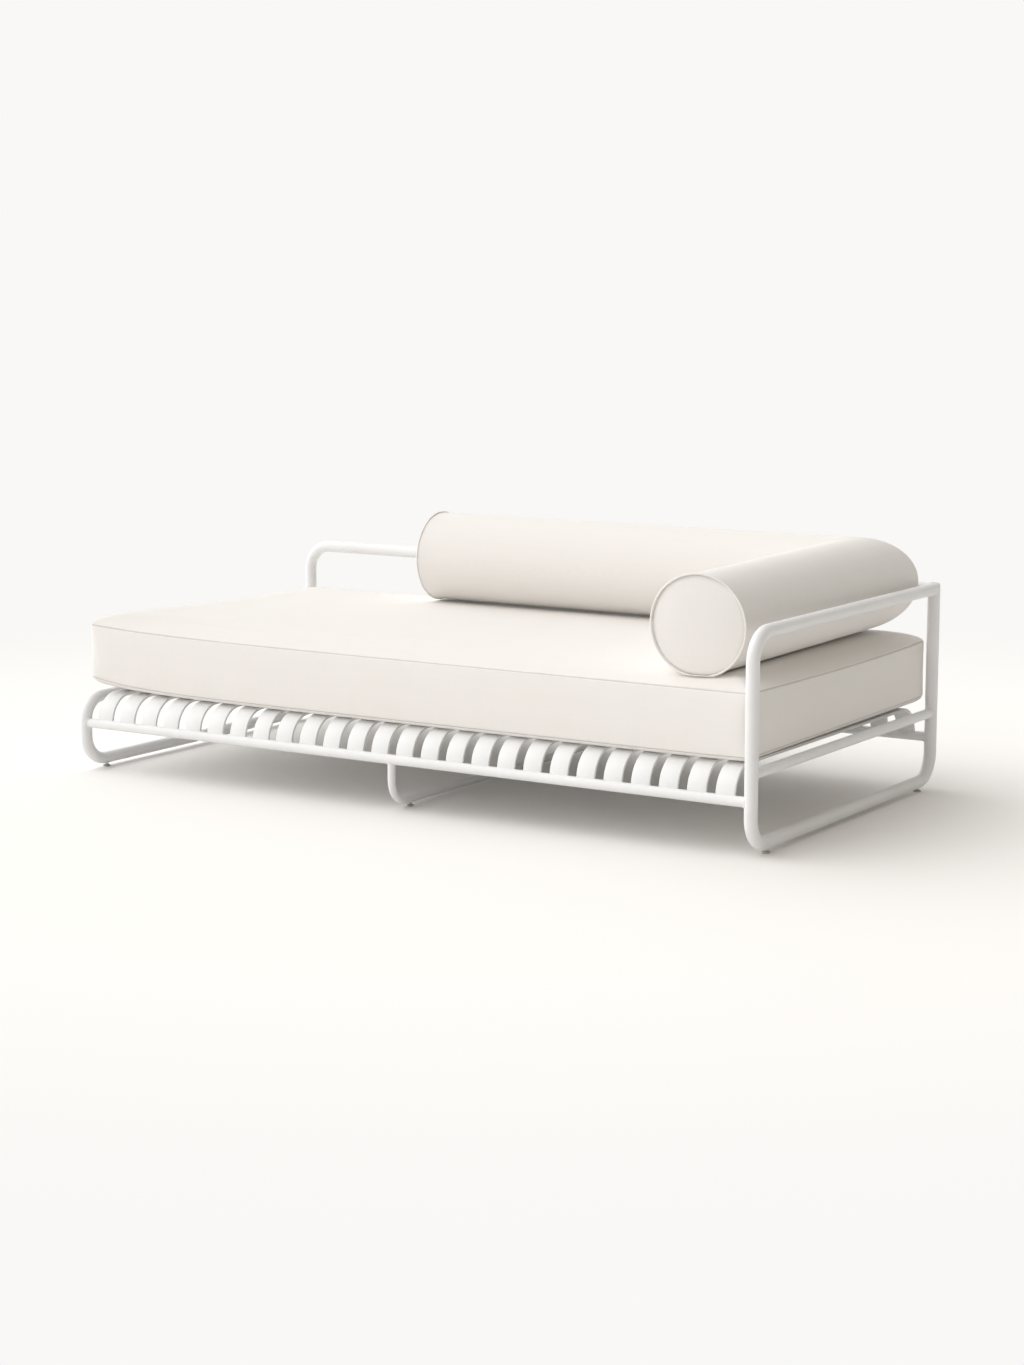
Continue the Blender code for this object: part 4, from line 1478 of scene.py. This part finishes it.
def build_slider(name, origin, outward, body, node, steel):
    """A flat plate on a bridge, a bail over it and a pull with a slot."""
    place = zip_place(origin, outward)
    whole = bmesh.new()
    parts = [
        bevelled_box((-0.0065, 0.0014, -0.0044), (0.0065, 0.0026, 0.0044), 0.0005),
        bevelled_box((-0.0020, -0.0004, -0.0012), (0.0048, 0.0016, 0.0012), 0.0004),
        bevelled_box((-0.0042, 0.0024, -0.0008), (0.0042, 0.0040, 0.0008), 0.0005),
    ]
    for part in parts:
        mesh = bpy.data.meshes.new("part")
        part.to_mesh(mesh)
        whole.from_mesh(mesh)
        bpy.data.meshes.remove(mesh)
        part.free()
    wide = 0.0032
    long_side = 0.0205
    path = []
    for z_middle, start in ((-0.0035, 0.0), (-0.0035 - long_side, pi)):
        for step in range(9):
            a = start + pi * step / 8
            path.append(Vector((wide * cos(a), 0.0036, z_middle + wide * sin(a))))
    rings = []
    for spot, after, before in zip(path, path[1:] + path[:1], path[-1:] + path[:-1]):
        along = (after - before).normalized()
        across = along.cross(BACK)
        rings.append([spot + 0.0009 * cos(a) * across + 0.0007 * sin(a) * BACK for a in circle(10)])
    points, faces = skin(rings, closed=True)
    ring_mesh = bpy.data.meshes.new("ring")
    ring_mesh.from_pydata([tuple(p) for p in points], [], faces)
    whole.from_mesh(ring_mesh)
    bpy.data.meshes.remove(ring_mesh)
    bmesh.ops.recalc_face_normals(whole, faces=whole.faces)
    bmesh.ops.transform(whole, matrix=place, verts=whole.verts)
    mesh = bpy.data.meshes.new(name)
    whole.to_mesh(mesh)
    whole.free()
    mesh.shade_smooth()
    thing = make_object(name, mesh, steel, radians(40))
    return hand_over(thing, body, "plated_steel", node)


def mattress_zip_origin():
    return Vector((ZIP_LOW.x, ZIP_HIGH.y, ZIP_Z))


def bolster_zip_origin(sizes):
    outward = Vector((0, cos(ZIP_ANGLE), sin(ZIP_ANGLE)))
    left = bolster_legs(sizes)[0][0]
    return Vector((BOLSTER_ZIP_LOW.x, left.y, left.z)) + ZIP_RADIUS * outward, outward


# ---------------------------------------------------------------- stage

# Where each light comes from, how nearness to it fades in, and the tints of the light.
DIM_TOWARD = (1, 0, 0.4)
DIM_FADE = (0.2, 0.9)
TINT_FADE = (0.0, 0.9)
WALL_TOWARD = (-1, 0, 0.15)
WALL_FADE = (0.2, 1.0)
KEY_TOWARD = (-0.35, -0.45, 0.82)
KEY_SPREAD = radians(48)
WHITE = (1.0, 1.0, 1.0)
DIM_TINT = (1.0, 0.95, 0.85)
KEY_TINT = (1.0, 0.99, 0.97)


def make_floor(look):
    """Round floor: matt near the daybed, and the backdrop's own glow further out."""
    steps = [0.0, 1.5, 3.0, 6.0, 12.0, look.floor_radius]
    rings = [[Vector((r * cos(a), r * sin(a), 0)) for a in circle(64)] for r in steps[1:]]
    points, faces = skin(rings, capped=False)
    faces = [face[::-1] for face in faces] + [tuple(range(64))]
    material, tree, shader = new_material("studio_floor", 1.0)
    shader.inputs["Specular IOR Level"].default_value = 0.0
    shader.inputs["Base Color"].default_value = (*look.floor, 1.0)
    glow = add_node(tree, "ShaderNodeEmission", {"Color": (*look.backdrop, 1.0), "Strength": 1.0})
    place = add_node(tree, "ShaderNodeTexCoord").outputs["Object"]
    distance = add_node(tree, "ShaderNodeVectorMath", {0: place}, operation="LENGTH").outputs["Value"]
    fade = add_node(
        tree, "ShaderNodeMapRange",
        {"Value": distance, "From Min": look.fade_start, "From Max": look.fade_end},
        interpolation_type="SMOOTHSTEP",
    ).outputs[0]
    mixed = add_node(tree, "ShaderNodeMixShader", {0: fade, 1: shader.outputs[0], 2: glow.outputs[0]})
    output = tree.nodes["Material Output"]
    tree.links.new(mixed.outputs[0], output.inputs["Surface"])
    floor = make_object("studio_floor", make_mesh("studio_floor", points, faces), material)


def facing(tree, direction, toward, fade, values):
    """Value that changes smoothly from one to the other as a direction turns toward another."""
    nearness = add_node(
        tree, "ShaderNodeVectorMath", {0: direction, 1: Vector(toward).normalized()},
        operation="DOT_PRODUCT",
    ).outputs["Value"]
    made = add_node(
        tree, "ShaderNodeMapRange",
        {"Value": nearness, "From Min": fade[0], "From Max": fade[1],
         "To Min": values[0], "To Max": values[1]},
        interpolation_type="SMOOTHSTEP",
    )
    return made.outputs[0]


def make_world(look):
    """Even backdrop for the eye; for light, a soft dome, dimmer on the right, and a wall on the left."""
    world = bpy.data.worlds.new("studio")
    world.use_nodes = True
    tree = world.node_tree
    tree.nodes.clear()
    direction = add_node(tree, "ShaderNodeTexCoord").outputs["Generated"]
    dome = facing(tree, direction, DIM_TOWARD, DIM_FADE, (look.soft, look.soft * look.dim))
    wall = facing(tree, direction, WALL_TOWARD, WALL_FADE, (0.0, look.wall))
    strength = calculated(tree, "ADD", dome, wall)
    warmth = facing(tree, direction, DIM_TOWARD, TINT_FADE, (0.0, 1.0))
    tint = blend_colours(tree, warmth, WHITE, DIM_TINT)
    lit = add_node(tree, "ShaderNodeBackground", {"Color": tint, "Strength": strength})
    seen = add_node(tree, "ShaderNodeBackground", {"Color": (*look.backdrop, 1.0), "Strength": 1.0})
    eye = add_node(tree, "ShaderNodeLightPath").outputs["Is Camera Ray"]
    mixed = add_node(tree, "ShaderNodeMixShader", {0: eye, 1: lit.outputs[0], 2: seen.outputs[0]})
    add_node(tree, "ShaderNodeOutputWorld", {"Surface": mixed.outputs[0]})
    bpy.context.scene.world = world


def make_key_light(look):
    """Broad soft light from the front left, above."""
    lamp = bpy.data.lights.new("key_light", "SUN")
    lamp.energy = look.key
    lamp.angle = KEY_SPREAD
    lamp.color = KEY_TINT
    thing = bpy.data.objects.new("key_light", lamp)
    toward = Vector(KEY_TOWARD).normalized()
    thing.rotation_mode = "QUATERNION"
    thing.rotation_quaternion = toward.to_track_quat("Z", "Y")
    bpy.context.scene.collection.objects.link(thing)


def make_camera(look):
    """Camera at the stage's viewing angle."""
    data = bpy.data.cameras.new("camera")
    data.lens = look.lens
    thing = bpy.data.objects.new("camera", data)
    thing.location = look.camera_place
    thing.rotation_euler = (look.camera_tilt, 0.0, look.camera_turn)
    bpy.context.scene.collection.objects.link(thing)
    bpy.context.scene.camera = thing


# ---------------------------------------------------------------- operators


class DAYBED_OT_tube_frame(bpy.types.Operator):
    """Build the bent and straight tubes of the frame and their welds"""

    bl_idname = "daybed.tube_frame"
    bl_label = "Tube frame"

    def execute(self, context):
        sizes = context.scene.daybed_frame
        coat = powder_coat(context.scene.daybed_finish)
        build_hoop(sizes, coat)
        build_left_loop(sizes, coat)
        build_back_rail(sizes, coat)
        build_straight_rails(coat)
        build_middle_leg(sizes, coat)
        build_welds(sizes, coat)
        return {"FINISHED"}


class DAYBED_OT_slats(bpy.types.Operator):
    """Build the row of deck slats"""

    bl_idname = "daybed.slats"
    bl_label = "Deck slats"

    def execute(self, context):
        build_slats(context.scene.daybed_frame, bpy.data.materials["white_powder_coat"])
        return {"FINISHED"}


class DAYBED_OT_feet(bpy.types.Operator):
    """Build the screw-in feet and finish their rivet nuts"""

    bl_idname = "daybed.feet"
    bl_label = "Feet"

    def execute(self, context):
        look = context.scene.daybed_finish
        nylon = speckled("moulded_nylon", look.nylon, 0.55, 0.0, 1400.0)
        steel = speckled("plated_steel", look.steel, 0.34, 1.0, 900.0)
        build_feet(nylon, steel)
        return {"FINISHED"}


class DAYBED_OT_mattress(bpy.types.Operator):
    """Sew and fill the boxed mattress"""

    bl_idname = "daybed.mattress"
    bl_label = "Mattress"

    def execute(self, context):
        cloth_look = context.scene.daybed_cloth
        cloth = cover_cloth("cream_cover_cloth", cloth_look, cloth_look.yarn)
        build_mattress(context.scene.daybed_cushions, cloth)
        return {"FINISHED"}


class DAYBED_OT_bolster(bpy.types.Operator):
    """Sew and fill the L-shaped bolster, with piping round its end caps"""

    bl_idname = "daybed.bolster"
    bl_label = "Bolster"

    def execute(self, context):
        sizes = context.scene.daybed_cushions
        cloth_look = context.scene.daybed_cloth
        build_bolster(sizes, bpy.data.materials["cream_cover_cloth"])
        piping = cover_cloth("cream_piping_cloth", cloth_look, cloth_look.yarn, radians(45))
        build_piping(sizes, piping)
        return {"FINISHED"}


class DAYBED_OT_zips(bpy.types.Operator):
    """Build both cushions' zips: tape, coil, stitches and slider"""

    bl_idname = "daybed.zips"
    bl_label = "Zips"

    def execute(self, context):
        sizes = context.scene.daybed_cushions
        look = context.scene.daybed_cloth
        steel = bpy.data.materials["plated_steel"]
        tape = cover_cloth("zip_tape_cloth", look, 0.6 * look.yarn)
        teeth = speckled("zip_coil_nylon", look.teeth, 0.45, 0.0, 2500.0)
        thread = twisted_thread("sewing_thread", look.thread)
        materials = (tape, teeth, thread)
        origin = mattress_zip_origin()
        length = ZIP_HIGH.x - ZIP_LOW.x
        build_zip("mattress", origin, BACK, length, "mattress", "mattress_zip", materials)
        slider_low, slider_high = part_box("mattress_zip_slider")
        middle = Vector(((slider_low.x + slider_high.x) / 2, origin.y, origin.z))
        build_slider("mattress_slider_pull", middle, BACK, "mattress_slider", "mattress_zip_slider", steel)
        origin, outward = bolster_zip_origin(sizes)
        length = BOLSTER_ZIP_HIGH.x - BOLSTER_ZIP_LOW.x
        build_zip("bolster", origin, outward, length, "bolster", "bolster_zip", materials)
        slider_low, slider_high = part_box("bolster_zip_slider")
        middle = Vector(((slider_low.x + slider_high.x) / 2, origin.y, origin.z))
        build_slider("bolster_slider_pull", middle, outward, "bolster_slider", "bolster_zip_slider", steel)
        return {"FINISHED"}


class DAYBED_OT_stage(bpy.types.Operator):
    """Set up the floor, the light and the camera"""

    bl_idname = "daybed.stage"
    bl_label = "Studio stage"

    def execute(self, context):
        look = context.scene.daybed_studio
        make_floor(look)
        make_world(look)
        make_key_light(look)
        make_camera(look)
        context.scene.view_settings.view_transform = "Standard"
        return {"FINISHED"}


STEPS = (
    DAYBED_OT_tube_frame,
    DAYBED_OT_slats,
    DAYBED_OT_feet,
    DAYBED_OT_mattress,
    DAYBED_OT_bolster,
    DAYBED_OT_zips,
    DAYBED_OT_stage,
)


class DAYBED_PT_panel(bpy.types.Panel):
    """Lists the steps that build the daybed"""

    bl_idname = "DAYBED_PT_panel"
    bl_label = "Daybed"
    bl_space_type = "VIEW_3D"
    bl_region_type = "UI"
    bl_category = "Daybed"

    def draw(self, context):
        for step in STEPS:
            self.layout.operator(step.bl_idname)


SETTINGS = (
    ("daybed_frame", DaybedFrameSizes),
    ("daybed_cushions", DaybedCushionSizes),
    ("daybed_cloth", DaybedClothLook),
    ("daybed_finish", DaybedFrameLook),
    ("daybed_studio", DaybedStudioLook),
)


def register():
    for name, group in SETTINGS:
        bpy.utils.register_class(group)
        setattr(bpy.types.Scene, name, PointerProperty(type=group))
    for step in STEPS:
        bpy.utils.register_class(step)
    bpy.utils.register_class(DAYBED_PT_panel)


def unregister():
    bpy.utils.unregister_class(DAYBED_PT_panel)
    for step in reversed(STEPS):
        bpy.utils.unregister_class(step)
    for name, group in reversed(SETTINGS):
        delattr(bpy.types.Scene, name)
        bpy.utils.unregister_class(group)


def main():
    register()
    for step in STEPS:
        group, name = step.bl_idname.split(".")
        getattr(getattr(bpy.ops, group), name)()


if __name__ == "__main__":
    main()
